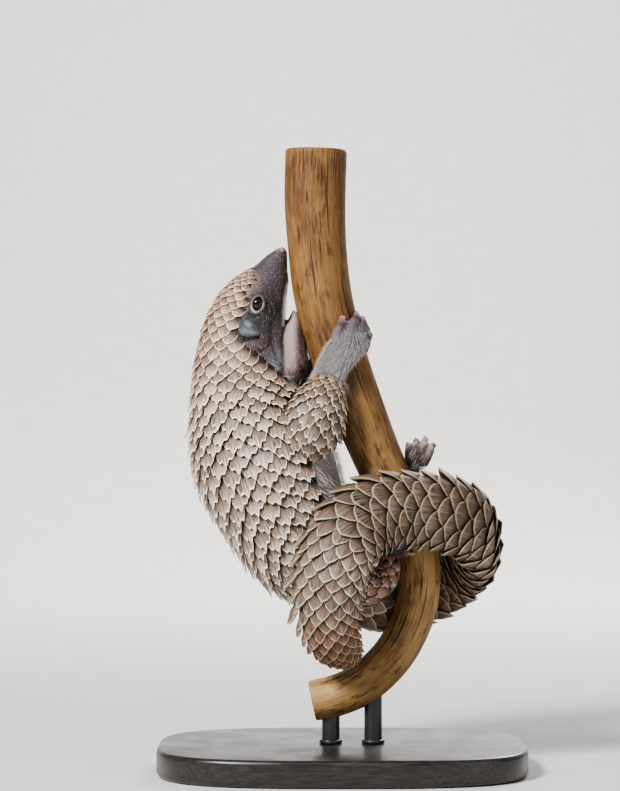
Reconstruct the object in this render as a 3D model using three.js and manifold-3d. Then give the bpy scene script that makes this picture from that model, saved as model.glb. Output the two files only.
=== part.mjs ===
// A young tree pangolin clinging to a short length of branch, as a still, life-size
// museum model on a plain display stand. Millimetres, +Z up. The origin is on the floor
// under the middle of the stand's base. The animal's right side faces -Y, and its
// sagittal plane and the branch's centre line lie in Y = 0.
//
// The skin of each body part is one closed surface: a tube round a spine of stations,
// whose wall is folded into rows of overlapping, pointed scales. The scales fade to bare
// skin on the face, throat, belly and the inner side of the limbs.

import * as THREE from 'three';
import { mergeVertices } from 'three/addons/utils/BufferGeometryUtils.js';
import Module from 'manifold-3d';

const wasm = await Module();
wasm.setup();

// Driving dimensions
const GAP = 0.4; // between touching pieces
const CURVED_CUT = 0.7; // between the lengths of the tail, where the cuts' planes lean together
const BASE_LENGTH = 166;
const BASE_WIDTH = 118;
const BASE_HEIGHT = 12;
const BASE_BEVEL = 2;
const BASE_SUPERELLIPSE = 0.62; // 1 gives an ellipse, less gives squarer corners
const ROD_RADIUS = 4;
const ROD_PLACES = [-5, 14]; // along X
const ROD_REACH = 34; // how high the uncut rods go
const EYE_RADIUS = 3.3;
const EYE_SINK = 2.2; // how far the eye's centre lies under the cheek's surface
const SCALE_COLUMNS = 16; // scales in one ring of the head, neck and torso
const HEAD_RINGS = 10;
const NECK_RINGS = 4;
const TORSO_RINGS = 14;
const ARM_COLUMNS = 8;
const LEG_COLUMNS = 8;
const TAIL_COLUMNS = 6;
const TAIL_NODES = { tail_1: 10, tail_2: 10, tail_3: 10, tail_4: 10, tail_5: 11, tail_6: 11 }; // rings
const SCALE_THICKNESS = 2.3; // how far a body scale's tip stands off the skin
const SCALE_OVERHANG = 2.6; // how far its tip reaches past its own root line
const LIMB_THICKNESS = 1.4;
const LIMB_OVERHANG = 0.3;
const TAIL_THICKNESS = 1.8;
const TAIL_OVERHANG = 0.7;
const SPIKE_THICKNESS = 3.0; // the same two for the pointed scales on the tail's edges
const SPIKE_OVERHANG = 2.0;
const THINNEST_SCALE = 0.25; // below this the skin is bare
const VARIATION = 0.14; // scale to scale

const COLOURS = {
  scales: 0xa39a90, tail: 0x93857a, skin: 0x5f575c, fur: 0xaaa6a8,
  ear: 0x8d979e, eye: 0x0b0a0a, wood: 0xb08a4e, stand: 0x26262a,
};

// Stations from nose to rump: centre x and z, then the half height towards the back,
// the half height towards the belly, and the half width
const TRUNK = {
  nose: [-26.2, 234.8, 2.2, 1.6, 2.2],
  nostrils: [-27.6, 231.6, 4.2, 3.4, 3.9],
  muzzle: [-29.6, 227.4, 6.6, 5.6, 5.2],
  bridge: [-32.2, 221.4, 9.8, 8.8, 8.0],
  eyes: [-38.2, 209.6, 16.6, 13.2, 12.4],
  ears: [-42.8, 196.6, 19.6, 17.0, 16.0],
  nape: [-44.2, 183.4, 21.2, 20.8, 18.5],
  shoulders: [-42.8, 167.4, 24.0, 25.0, 22.5],
  chest: [-38.2, 150.3, 29.4, 28.6, 26],
  belly: [-32.4, 131.4, 29.4, 31.0, 27],
  loin: [-24.3, 113.4, 26.4, 28.0, 25],
  hips: [-14.0, 97.2, 22.6, 22.6, 21.5],
  rump: [-1.8, 85.0, 16.0, 16.5, 18],
};

// Stations from behind the rump to the tail's tip: centre, then the way that the upper
// side faces, then the half thicknesses of the upper and lower side and the half width
const TAIL = [
  [[8.5, 6.4, 78.8], [-0.5, 0.65, -0.6], [12.4, 11.5, 15.0]],
  [[21.4, 19.6, 77.2], [-0.35, 0.93, -0.2], [10.2, 9.2, 15.0]],
  [[38.4, 23.6, 81.4], [0.3, 0.95, -0.1], [9.5, 8.6, 15.5]],
  [[54.5, 15.5, 91.4], [0.8, 0.6, -0.1], [9.0, 8.5, 15.5]],
  [[60.6, 1, 100.8], [1.0, 0.0, 0.05], [9.0, 8.5, 15.2]],
  [[56.5, -12, 110.2], [0.7, -0.7, 0.1], [8.5, 8.0, 14.8]],
  [[44.1, -20.5, 116.0], [0.25, -0.95, 0.15], [8.0, 7.5, 14.5]],
  [[28.4, -24.5, 118.0], [0, -1, 0.12], [8.0, 7.5, 14.5]],
  [[13.5, -28.5, 115.4], [-0.1, -0.98, 0.15], [8.0, 7.0, 15]],
  [[1.4, -33, 106.2], [-0.25, -0.95, 0.15], [8.0, 6.5, 15]],
  [[-4.6, -34.5, 91.8], [-0.3, -0.95, 0], [7.5, 6.0, 14.2]],
  [[-6.6, -31.5, 75.0], [-0.25, -0.95, -0.15], [7.0, 5.5, 12.6]],
  [[-4.6, -24.5, 61.8], [-0.1, -0.8, -0.6], [6.0, 5.0, 11.0]],
  [[-1.0, -15, 53.8], [0, -0.5, -0.87], [5.0, 4.0, 8.8]],
  [[1.4, -6.5, 51.2], [0, 0, -1], [3.6, 3.2, 6]],
  [[2.4, 0.5, 51.8], [0, 0.25, -0.97], [1.6, 1.6, 2.2]],
];

// Stations from wrist to elbow, the elbow's end being sunk in the chest
const FORELEG = [
  [[-4.6, -19.6, 176.2], [0, -1, 0], [4.6, 4.0, 6.8]],
  [[-8.3, -22.4, 167.4], [0, -1, 0], [7.2, 6.6, 9.6]],
  [[-11.6, -22.6, 158.4], [0, -1, 0], [8.8, 9.0, 11.8]],
  [[-13.8, -20.4, 150.8], [0, -1, 0], [9.2, 10.0, 11.6]],
  [[-14.8, -17.4, 145.2], [0, -1, -0.3], [7.4, 8.5, 8.4]],
  [[-15.4, -15.2, 142.2], [0, -1, -0.6], [3.0, 3.6, 3.4]],
];

// Stations from ankle to hip, the hip's end being sunk in the rump or the loin
const RIGHT_HINDLEG = [
  [[21.4, -13.8, 96.6], [0, -1, 0], [3.4, 3.2, 4.6]],
  [[20.6, -16.5, 89.8], [0, -1, 0], [4.6, 4.2, 5.4]],
  [[16.8, -19.4, 84.4], [0, -1, 0], [5.0, 4.8, 6.0]],
  [[9.0, -20.6, 83.0], [0, -1, 0], [5.0, 5.0, 6.6]],
  [[0.6, -19.6, 88.0], [0, -1, 0], [4.8, 5.6, 7.4]],
  [[-7.6, -14.5, 95.6], [0, -1, 0], [5.0, 5.6, 7.0]],
];
const LEFT_HINDLEG = [
  [[31.6, 9.6, 136.2], [0.6, 0.8, 0], [3.6, 3.6, 4.6]],
  [[26.6, 17.4, 130.6], [0.3, 0.95, 0], [4.8, 4.8, 6.0]],
  [[16.4, 20.6, 122.8], [0, 1, 0], [6.4, 6.4, 7.6]],
  [[4.6, 21.0, 114.8], [0, 1, 0], [8.0, 8.0, 9.4]],
  [[-7.2, 17.0, 107.0], [0, 1, 0], [8.6, 8.6, 10.2]],
  [[-15.4, 11.0, 101.2], [0, 1, 0], [7.0, 7.0, 8.0]],
];

// The branch's centre line in X and Z, and its radius
const BRANCH = [
  [-11.7, 279.0, 14.0], [-12.2, 256.5, 13.8], [-11.2, 236.2, 13.2], [-9.0, 216.0, 13.0],
  [-5.0, 198.0, 12.7], [0.5, 180.0, 12.3], [7.2, 162.0, 11.8], [14.0, 145.3, 11.2],
  [21.6, 128.2, 10.8], [29.2, 112.5, 10.3], [34.2, 96.8, 9.8], [34.6, 81.0, 9.6],
  [31.1, 66.6, 9.5], [22.9, 51.8, 9.5], [10.3, 39.6, 9.5], [-3.1, 33.3, 9.3],
  [-13.5, 31.1, 9.0],
];

const DEGREE = Math.PI / 180;
const SIDEWAYS = new THREE.Vector3(0, 1, 0);

function smooth(low, high, value) {
  const t = THREE.MathUtils.clamp((value - low) / (high - low), 0, 1);
  return t * t * (3 - 2 * t);
}

// A repeatable value from -1 to 1 for scale number (i, j)
function noise(i, j, salt) {
  const wave = Math.sin(i * 127.1 + j * 311.7 + salt * 74.7) * 43758.5453;
  return 2 * (wave - Math.floor(wave)) - 1;
}

// A spine of stations, read by its length from the first station
class Spine {
  constructor(stations) {
    const row = (k) => stations.map((station) => new THREE.Vector3(...station[k]));
    const curve = (points) => new THREE.CatmullRomCurve3(points, false, 'catmullrom', 0.5);
    this.centres = curve(row(0));
    this.uppers = curve(row(1));
    this.sizes = curve(row(2));
    this.steps = 20 * (stations.length - 1);
    this.lengths = [0];
    let before = this.centres.getPoint(0);
    for (let k = 1; k <= this.steps; k++) {
      const here = this.centres.getPoint(k / this.steps);
      this.lengths.push(this.lengths[k - 1] + here.distanceTo(before));
      before = here;
    }
    this.length = this.lengths[this.steps];
    this.stationCount = stations.length;
  }

  // The length at which a station lies
  atStation(number) {
    return this.lengths[Math.round(number * this.steps / (this.stationCount - 1))];
  }

  share(s) {
    const wanted = THREE.MathUtils.clamp(s, 0, this.length);
    let k = 1;
    while (k < this.steps && this.lengths[k] < wanted) k++;
    const part = (wanted - this.lengths[k - 1]) / (this.lengths[k] - this.lengths[k - 1]);
    return (k - 1 + part) / this.steps;
  }

  frame(s) {
    const t = this.share(s);
    const along = this.centres.getTangent(t);
    const up = this.uppers.getPoint(t).addScaledVector(along, -this.uppers.getPoint(t).dot(along));
    up.normalize();
    const right = new THREE.Vector3().crossVectors(up, along);
    const [over, under, side] = this.sizes.getPoint(t).toArray();
    return { centre: this.centres.getPoint(t), along, up, right, over, under, side };
  }

  // The point of the skin at length s and angle a from the middle of the upper side,
  // lifted off the skin by lift
  point(s, a, lift = 0) {
    const { centre, up, right, over, under, side } = this.frame(s);
    const high = Math.cos(a) > 0 ? over : under;
    const normal = up.clone().multiplyScalar(Math.cos(a) / high);
    normal.addScaledVector(right, Math.sin(a) / side).normalize();
    const point = centre.clone().addScaledVector(up, high * Math.cos(a));
    return point.addScaledVector(right, side * Math.sin(a)).addScaledVector(normal, lift);
  }
}

// A closed mesh from triangles of points
class Faces {
  constructor() {
    this.points = [];
    this.numbers = new Map();
    this.indices = [];
  }

  number(point) {
    const key = point.toArray().map((value) => Math.round(value * 2000)).join();
    if (!this.numbers.has(key)) {
      this.numbers.set(key, this.points.length);
      this.points.push(point);
    }
    return this.numbers.get(key);
  }

  fan(middle, rim) {
    for (let k = 0; k + 1 < rim.length; k++) this.polygon(middle, rim[k], rim[k + 1]);
  }

  polygon(...corners) {
    const [first, ...rest] = corners.map((corner) => this.number(corner));
    for (let k = 0; k + 1 < rest.length; k++) {
      const triangle = [first, rest[k], rest[k + 1]];
      if (new Set(triangle).size === 3) this.indices.push(...triangle);
    }
  }

  geometry() {
    const geometry = new THREE.BufferGeometry();
    const values = this.points.flatMap((point) => point.toArray());
    geometry.setAttribute('position', new THREE.Float32BufferAttribute(values, 3));
    geometry.setIndex(this.indices);
    return geometry;
  }
}

// The scaled skin of a spine from length `from` to length `to`. Scales lie in rings, each
// ring shifted by half a scale. thickness(s, a) is how far a scale's tip stands off the
// skin, overhang(s, a) how far it reaches past the next ring. Scales with cusps have
// rounded flanks beside the point, others are plain diamonds.
function scaledTube(spine, { from, to, rings, columns, thickness, overhang, keel = 0.14,
  endReach = 0, salt = 1, cusps = true }) {
  const faces = new Faces();
  const half = Math.PI / columns;
  const pitch = (to - from) / rings;
  const turned = (i, j) => (2 * j + (i & 1)) * half;

  function height(i, a) {
    if (i <= 0) return 0;
    const folded = Math.atan2(Math.sin(a), Math.cos(a));
    const value = thickness(from + i * pitch, folded);
    const column = (Math.round(2 * folded / half) + 4 * columns) % (4 * columns);
    const varied = value * (1 + VARIATION * noise(Math.round(2 * i), column, salt));
    return varied < THINNEST_SCALE ? 0 : varied;
  }

  function place(i, a, share, push = 0) {
    const reach = i <= 0 || i >= rings ? 0 : push;
    const folded = Math.atan2(Math.sin(a), Math.cos(a));
    const s = from + i * pitch;
    const cover = height(i, a);
    const beyond = cover > 0 ? reach * overhang(s, folded) : 0;
    const room = Math.min(s + beyond, to - 0.3);
    return spine.point(reach > 0 ? Math.max(room, s) : s, a, share * cover);
  }

  const base = (i, a) => place(i, a, 0);
  const corner = (i, a) => place(i, a, 0.5);
  const tip = (i, a) => place(i, a, 1, 1);
  const raised = (i, a) => place(i, a, 0.8, 0.35);
  const laid = (i, a) => place(i, a, 0.25);
  const middle = (i, a) => place(i, a, 0.5 + keel);
  const hasStep = (i, a) => cusps && height(i, a) > 0;

  // The two risers under the lower edges of the scale whose top is at (i, a)
  function risers(i, a) {
    for (const turn of [1, -1]) {
      const outer = [i + 1, a + turn * half];
      const between = [i + 1.5, a + turn * half / 2];
      const end = [i + 2, a];
      const quads = hasStep(...between)
        ? [[corner(...outer), raised(...between), laid(...between), base(...outer)],
          [raised(...between), tip(...end), corner(...end), laid(...between)]]
        : [[corner(...outer), tip(...end), corner(...end), base(...outer)]];
      for (const quad of quads) faces.polygon(...(turn > 0 ? quad : quad.reverse()));
    }
  }

  // The rim of a scale's quarter, from one of its corners to the next
  function quarter(first, between, last, edge) {
    return hasStep(...between) ? [first, edge(...between), last] : [first, last];
  }

  for (let i = -1; i < rings; i++) {
    for (let j = 0; j < columns; j++) {
      const a = turned(i, j);
      const left = corner(i + 1, a - half);
      const right = corner(i + 1, a + half);
      const centre = middle(i + 1, a);
      if (i >= 0) {
        const top = base(i, a);
        faces.fan(centre, quarter(top, [i + 0.5, a - half / 2], left, laid));
        faces.fan(centre, quarter(right, [i + 0.5, a + half / 2], top, laid));
      }
      if (i <= rings - 2) {
        const end = tip(i + 2, a);
        faces.fan(centre, quarter(left, [i + 1.5, a - half / 2], end, raised));
        faces.fan(centre, quarter(end, [i + 1.5, a + half / 2], right, raised));
        risers(i, a);
      }
      if (i === -1) {
        const start = spine.frame(from).centre;
        faces.polygon(start, left, centre);
        faces.polygon(start, centre, right);
      }
      if (i === rings - 1) {
        const { centre: middleOfEnd, along } = spine.frame(to);
        const end = middleOfEnd.addScaledVector(along, endReach);
        faces.polygon(end, centre, left);
        faces.polygon(end, right, centre);
      }
    }
  }
  return faces.geometry();
}

// A round bar through points, with its own radius at each. Each end bulges by `round`
// times its radius.
function bar(points, radii, sides = 8, { steps = 1, round = 0.5 } = {}) {
  const curve = new THREE.CatmullRomCurve3(points, false, 'catmullrom', 0.5);
  const faces = new Faces();
  const count = steps * (points.length - 1);
  const { normals, binormals } = curve.computeFrenetFrames(count, false);
  const sizes = new THREE.CatmullRomCurve3(
    radii.map((radius) => new THREE.Vector3(radius, 0, 0)), false, 'catmullrom', 0.5);
  const ring = (k) => {
    const t = curve.getUtoTmapping(k / count);
    return Array.from({ length: sides + 1 }, (_, j) => {
      const angle = 2 * Math.PI * (j % sides) / sides;
      return curve.getPoint(t)
        .addScaledVector(normals[k], sizes.getPoint(t).x * Math.cos(angle))
        .addScaledVector(binormals[k], sizes.getPoint(t).x * Math.sin(angle));
    });
  };
  for (let k = 0; k < count; k++) {
    const near = ring(k);
    const far = ring(k + 1);
    for (let j = 0; j < sides; j++) faces.polygon(near[j], near[j + 1], far[j + 1], far[j]);
  }
  const start = points[0].clone().addScaledVector(curve.getTangent(0), -round * radii[0]);
  const last = points.length - 1;
  const end = points[last].clone().addScaledVector(curve.getTangent(1), round * radii[last]);
  faces.fan(start, ring(0).reverse());
  faces.fan(end, ring(count));
  return faces.geometry();
}

function ellipsoid(centre, radii, turn = new THREE.Quaternion(), detail = [14, 10]) {
  const geometry = new THREE.SphereGeometry(1, ...detail);
  const size = new THREE.Vector3(...radii);
  return geometry.applyMatrix4(new THREE.Matrix4().compose(centre, turn, size));
}

function solid(geometry) {
  const shape = geometry.clone();
  for (const name of ['normal', 'uv']) shape.deleteAttribute(name);
  const merged = mergeVertices(shape, 1e-4);
  return new wasm.Manifold(new wasm.Mesh({
    numProp: 3,
    vertProperties: new Float32Array(merged.attributes.position.array),
    triVerts: new Uint32Array(merged.index.array),
  }));
}

const join = (...geometries) => geometries.map(solid).reduce((all, one) => all.add(one));

function cutAway(body, ...cutters) {
  return cutters.reduce((rest, cutter) => rest.subtract(cutter), body);
}

// What lies beyond the spine's cross section at length s, sign being 1 towards the tail
// and -1 towards the nose
function beyond(body, s, sign) {
  const { centre, along } = spine.frame(s);
  const normal = along.clone().multiplyScalar(sign);
  return body.trimByPlane(normal.toArray(), centre.dot(normal) + GAP / 2);
}

// The largest closed surface of a solid, as a geometry
function largest(body) {
  const pieces = body.decompose();
  pieces.sort((one, other) => other.volume() - one.volume());
  const mesh = pieces[0].getMesh();
  const geometry = new THREE.BufferGeometry();
  const positions = new Float32Array(mesh.vertProperties);
  geometry.setAttribute('position', new THREE.BufferAttribute(positions, 3));
  geometry.setIndex(Array.from(mesh.triVerts));
  return geometry;
}

const pangolin = new THREE.Group();

function addNode(name, geometry, colour, roughness = 0.6) {
  const faceted = geometry.index ? geometry.toNonIndexed() : geometry;
  faceted.computeVertexNormals();
  const material = new THREE.MeshStandardMaterial({ color: colour, roughness, metalness: 0 });
  const mesh = new THREE.Mesh(faceted, material);
  mesh.name = name;
  pangolin.add(mesh);
}

// Stand and branch
const branchCentres = new THREE.CatmullRomCurve3(
  BRANCH.map(([x, z]) => new THREE.Vector3(x, 0, z)), false, 'catmullrom', 0.5);
const branchRadii = BRANCH.map((station) => station[2]);
const BRANCH_SIDES = 11;

function branchBar(extra) {
  const points = BRANCH.map(([x, z]) => new THREE.Vector3(x, 0, z));
  return bar(points, branchRadii.map((radius) => radius + extra), BRANCH_SIDES, { round: 0 });
}

// The point at height z, turned by angle round the branch from its front towards +X,
// and standing off its bark by out
function onBranch(z, angle, out) {
  let t = 0;
  while (t < 1 && branchCentres.getPoint(t).z > z) t += 0.002;
  const tangent = branchCentres.getTangent(t);
  const across = new THREE.Vector3().crossVectors(SIDEWAYS, tangent).negate();
  const place = t * (BRANCH.length - 1);
  const before = Math.min(Math.floor(place), BRANCH.length - 2);
  const radius = THREE.MathUtils.lerp(
    branchRadii[before], branchRadii[before + 1], place - before);
  return branchCentres.getPoint(t)
    .addScaledVector(SIDEWAYS, -(radius + out) * Math.cos(angle * DEGREE))
    .addScaledVector(across, (radius + out) * Math.sin(angle * DEGREE));
}

function standBase() {
  const outline = new THREE.Shape();
  const corners = 36;
  for (let k = 0; k < corners; k++) {
    const angle = 2 * Math.PI * k / corners;
    const curved = (value) => Math.sign(value) * Math.abs(value) ** BASE_SUPERELLIPSE;
    const x = (BASE_LENGTH / 2 - BASE_BEVEL) * curved(Math.cos(angle));
    const y = (BASE_WIDTH / 2 - BASE_BEVEL) * curved(Math.sin(angle));
    if (k === 0) outline.moveTo(x, y);
    else outline.lineTo(x, y);
  }
  const plate = new THREE.ExtrudeGeometry(outline, {
    depth: BASE_HEIGHT - 2 * BASE_BEVEL,
    bevelThickness: BASE_BEVEL,
    bevelSize: BASE_BEVEL,
    bevelSegments: 1,
  });
  return plate.translate(0, 0, BASE_BEVEL);
}

function standRod(x) {
  const length = ROD_REACH - BASE_HEIGHT - GAP;
  const rod = new THREE.CylinderGeometry(ROD_RADIUS, ROD_RADIUS, length, 20);
  rod.rotateX(Math.PI / 2).translate(x, 0, BASE_HEIGHT + GAP + length / 2);
  return largest(cutAway(solid(rod), solid(branchBar(1.5 * GAP))));
}

// Scale heights. An angle is measured from the middle of the back, so 180 degrees is the
// middle of the belly.
function scaledUpTo(limit, a) {
  return smooth(limit + 9, limit - 9, Math.abs(a) / DEGREE);
}

// Head, neck, torso and tail share one spine. Along the trunk the back faces away from
// the branch, so it is the spine's direction turned in the sagittal plane.
const trunkCentres = Object.values(TRUNK).map(([x, z]) => new THREE.Vector3(x, 0, z));
const trunkStations = Object.values(TRUNK).map(([x, z, ...sizes], k) => {
  const next = trunkCentres[Math.min(k + 1, trunkCentres.length - 1)];
  const along = next.clone().sub(trunkCentres[Math.max(k - 1, 0)]);
  const back = new THREE.Vector3().crossVectors(SIDEWAYS, along).normalize();
  return [[x, 0, z], back.toArray(), sizes];
});
const spine = new Spine([...trunkStations, ...TAIL]);
const station = Object.fromEntries(Object.keys(TRUNK).map((name, k) => [name, spine.atStation(k)]));

// How far down the sides the trunk's scales come, in degrees from the middle of the back
const SCALED_EDGE = [
  [station.muzzle, 0], [station.bridge, 34], [station.eyes, 62], [station.ears, 68],
  [(station.ears + station.nape) / 2, 92], [station.nape, 122], [station.shoulders, 142],
  [station.chest, 136], [station.belly, 130], [station.loin, 126], [station.rump, 126],
];

function trunkThickness(s, a) {
  let k = 1;
  while (k < SCALED_EDGE.length - 1 && SCALED_EDGE[k][0] < s) k++;
  const [[start, low], [end, high]] = [SCALED_EDGE[k - 1], SCALED_EDGE[k]];
  const limit = THREE.MathUtils.mapLinear(THREE.MathUtils.clamp(s, start, end), start, end, low, high);
  const grown = smooth(station.muzzle, station.bridge, s);
  const full = THREE.MathUtils.lerp(0.55, 1, smooth(station.eyes, station.shoulders, s));
  return SCALE_THICKNESS * grown * full * scaledUpTo(limit, a);
}

function trunkPiece(from, to, rings, salt, cusps = true) {
  const overhang = (s) => SCALE_OVERHANG * smooth(station.bridge, station.shoulders, s);
  return scaledTube(spine, {
    from, to, rings, columns: SCALE_COLUMNS, thickness: trunkThickness, overhang, salt, cusps,
  });
}

// Head: the eyes, ears, mouth and nostrils of one side, side being -1 on the animal's
// right and 1 on its left
function onHead(x, y, z, side) {
  return new THREE.Vector3(x, side * y, z);
}

function eyeCentre(side) {
  return onHead(-38.2, 12.6 - EYE_SINK, 209.8, side);
}

const EYE_TILT = new THREE.Quaternion().setFromAxisAngle(SIDEWAYS, -0.25);
const LID_SIZE = [3.0, 3.9]; // half width and half height of the lids' opening

function lid(side) {
  const ring = new THREE.TorusGeometry(1, 0.22, 5, 14);
  ring.rotateX(Math.PI / 2).scale(LID_SIZE[0], 3.2, LID_SIZE[1]).applyQuaternion(EYE_TILT);
  const surface = eyeCentre(side);
  return ring.translate(surface.x, side * (12.6 + 0.1), surface.z);
}

function eyeOpening(side) {
  const hole = new THREE.CylinderGeometry(1, 1, 8, 12);
  hole.scale(LID_SIZE[0] - 0.4, 1, LID_SIZE[1] - 0.4).applyQuaternion(EYE_TILT);
  const surface = eyeCentre(side);
  return hole.translate(surface.x, side * 14, surface.z);
}

function eyeball(side, extra) {
  const radius = EYE_RADIUS + extra;
  return ellipsoid(eyeCentre(side), [radius, radius, radius], undefined, [12, 8]);
}

const HEAD_END = station.ears + 5;
const SPARE = 1; // how far head and neck are made past the cut between them
const EAR_PLACE = [-39.4, 16.0, 196.6];
const EAR_TURN = new THREE.Quaternion().setFromEuler(new THREE.Euler(0, 0.3, 0));

function earBody(side, extra) {
  const radii = [6.3 + extra, 2.6 + extra, 5.4 + extra];
  return ellipsoid(onHead(...EAR_PLACE, side), radii, EAR_TURN, [10, 7]);
}

function ear(side) {
  const [x, y, z] = EAR_PLACE;
  const cup = ellipsoid(onHead(x + 0.4, y + 0.9, z - 3.6, side), [4.9, 2.3, 4.0], EAR_TURN, [9, 6]);
  return largest(solid(earBody(side, 0)).subtract(solid(cup)));
}

// The fold of skin behind and below the ear
function earFold(side) {
  const path = [[-45.8, 15.6, 200.4], [-45.4, 16.8, 193.6], [-40.4, 16.8, 190.2],
    [-34.4, 14.4, 191.0]].map(([x, y, z]) => onHead(x, y, z, side));
  return bar(path, [0.5, 1.0, 1.0, 0.5], 6);
}

// The lower jaw and the soft throat behind it
function jaw() {
  const path = [[-23.2, 204.0], [-22.5, 199.8], [-22.8, 194.8], [-22.7, 188.4], [-22.5, 181.2],
    [-24.2, 175.4]];
  const points = path.map(([x, z]) => new THREE.Vector3(x, 0, z));
  return bar(points, [1.6, 3.0, 4.9, 5.7, 5.8, 4.0], 10).scale(1, 1.5, 1);
}

// The mouth's slit between upper lip and lower jaw, right through from side to side
function mouth() {
  const outline = new THREE.Shape();
  outline.moveTo(-23.9, 218);
  outline.quadraticCurveTo(-25.7, 208, -26.8, 194.2);
  outline.quadraticCurveTo(-24.9, 204, -22.6, 218);
  const width = 30;
  const slit = new THREE.ExtrudeGeometry(outline, { depth: width, bevelEnabled: false, curveSegments: 5 });
  return slit.translate(0, 0, -width / 2).rotateX(Math.PI / 2);
}

function lip(side) {
  const places = [[0.3, 172], [0.5, 168], [0.7, 164], [0.9, 158]];
  const path = places.map(([share, angle]) => {
    const s = THREE.MathUtils.lerp(station.nostrils, station.ears, share);
    return spine.point(s, -side * angle * DEGREE, 0);
  });
  return bar(path, [0.5, 0.7, 0.7, 0.5], 6);
}

function nostril(side) {
  const path = [[-26.4, 1.3, 235.4], [-27.2, 2.2, 232.6]];
  const points = path.map(([x, y, z]) => onHead(x, y, z, side));
  return bar(points, [0.55, 0.75], 6);
}

const SIDES = { right: -1, left: 1 };

function buildHead() {
  const bothSides = (make, ...rest) => Object.values(SIDES).map((side) => solid(make(side, ...rest)));
  const lowerJaw = solid(jaw());
  const skull = solid(trunkPiece(0, HEAD_END + SPARE, HEAD_RINGS, 1, false));
  const head = [...bothSides(lid), ...bothSides(lip), lowerJaw]
    .reduce((all, one) => all.add(one), skull);
  const cutters = [
    ...bothSides(eyeOpening), ...bothSides(eyeball, GAP), ...bothSides(earBody, GAP),
    ...bothSides(earFold), ...bothSides(nostril), solid(mouth()), solid(branchBar(GAP)),
  ];
  addNode('head', largest(beyond(cutAway(head, ...cutters), HEAD_END, -1)), COLOURS.skin);
  const neckEnds = [HEAD_END - SPARE, station.shoulders - GAP / 2];
  const neck = solid(trunkPiece(...neckEnds, NECK_RINGS, 2)).add(lowerJaw);
  const neckCutters = [...bothSides(earBody, GAP), solid(branchBar(GAP))];
  addNode('neck', largest(beyond(cutAway(neck, ...neckCutters), HEAD_END, 1)), COLOURS.scales);
  for (const [name, side] of Object.entries(SIDES)) {
    addNode(`ear_${name}`, ear(side), COLOURS.ear);
    addNode(`eye_${name}`, eyeball(side, 0), COLOURS.eye, 0.1);
  }
}

// Limbs. The root end of each tube is bare and lies in a socket of the torso, cut by the
// same tube grown by the gap.
function limbTube(stations, { rings, columns, bareFrom, salt }) {
  const limb = new Spine(stations);
  const thickness = (s, a) => {
    const grown = smooth(0, 0.15, s / limb.length);
    const rooted = smooth(bareFrom + 0.1, bareFrom - 0.1, s / limb.length);
    return LIMB_THICKNESS * grown * rooted * scaledUpTo(112, a);
  };
  return scaledTube(limb, {
    from: 0, to: limb.length, rings, columns, thickness, overhang: () => LIMB_OVERHANG, salt, endReach: 1,
    cusps: false,
  });
}

// The room that a limb takes up, its scales and the gap round them included
function limbRoom(stations) {
  const bare = 2 * GAP;
  const cover = LIMB_THICKNESS * (1 + VARIATION) + 1.4 * bare;
  const grown = stations.map(([centre, up, [over, under, side]]) =>
    [centre, up, [over + cover, under + bare, side + cover]]);
  const [first, second] = stations.map(([centre]) => new THREE.Vector3(...centre));
  grown[0][0] = first.clone().addScaledVector(first.clone().sub(second).normalize(), GAP).toArray();
  const room = new Spine(grown);
  return scaledTube(room, {
    from: 0, to: room.length, rings: 8, columns: 10, thickness: () => 0, overhang: () => 0,
    endReach: 1 + bare,
  });
}

function mirrored(stations) {
  return stations.map(([centre, up, sizes]) => [
    [centre[0], -centre[1], centre[2]], [up[0], -up[1], up[2]], sizes,
  ]);
}

const LIMBS = {
  foreleg_right: { stations: FORELEG, rings: 8, columns: ARM_COLUMNS, bareFrom: 0.92, salt: 5 },
  foreleg_left: {
    stations: mirrored(FORELEG), rings: 8, columns: ARM_COLUMNS, bareFrom: 0.92, salt: 6,
  },
  hindleg_right: { stations: RIGHT_HINDLEG, rings: 8, columns: LEG_COLUMNS, bareFrom: 0.6, salt: 7 },
  hindleg_left: { stations: LEFT_HINDLEG, rings: 8, columns: LEG_COLUMNS, bareFrom: 0.6, salt: 8 },
};

function buildTorsoAndLimbs() {
  const sockets = Object.values(LIMBS).map(({ stations }) => solid(limbRoom(stations)));
  const ends = [station.shoulders + GAP / 2, station.rump - GAP / 2];
  const torso = cutAway(solid(trunkPiece(...ends, TORSO_RINGS, 3)), ...sockets);
  addNode('torso', largest(beyond(torso, station.rump, -1)), COLOURS.scales);
  for (const [name, { stations, ...rest }] of Object.entries(LIMBS)) {
    addNode(name, limbTube(stations, rest), COLOURS.scales);
  }
}

// Hands and feet. Each digit is a bar of skin with a tapered claw in its end. A hand's places
// are a height, an angle round the branch and a distance from its bark, side 1 being the
// right hand's, and turn shifts the whole hand round the branch.
function digit(points, radius) {
  const [root, knuckle, end] = points;
  const toe = bar([root, knuckle, end], [radius * 1.1, radius, radius * 0.75], 6);
  const onward = end.clone().sub(knuckle);
  const clawTip = points[3];
  const clawRoot = end.clone().addScaledVector(onward, -0.35);
  const bend = end.clone().addScaledVector(onward, 0.25).lerp(clawTip, 0.3);
  const claw = bar([clawRoot, bend, clawTip], [radius * 0.55, radius * 0.5, 0.3], 5);
  return join(toe, claw);
}

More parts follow.
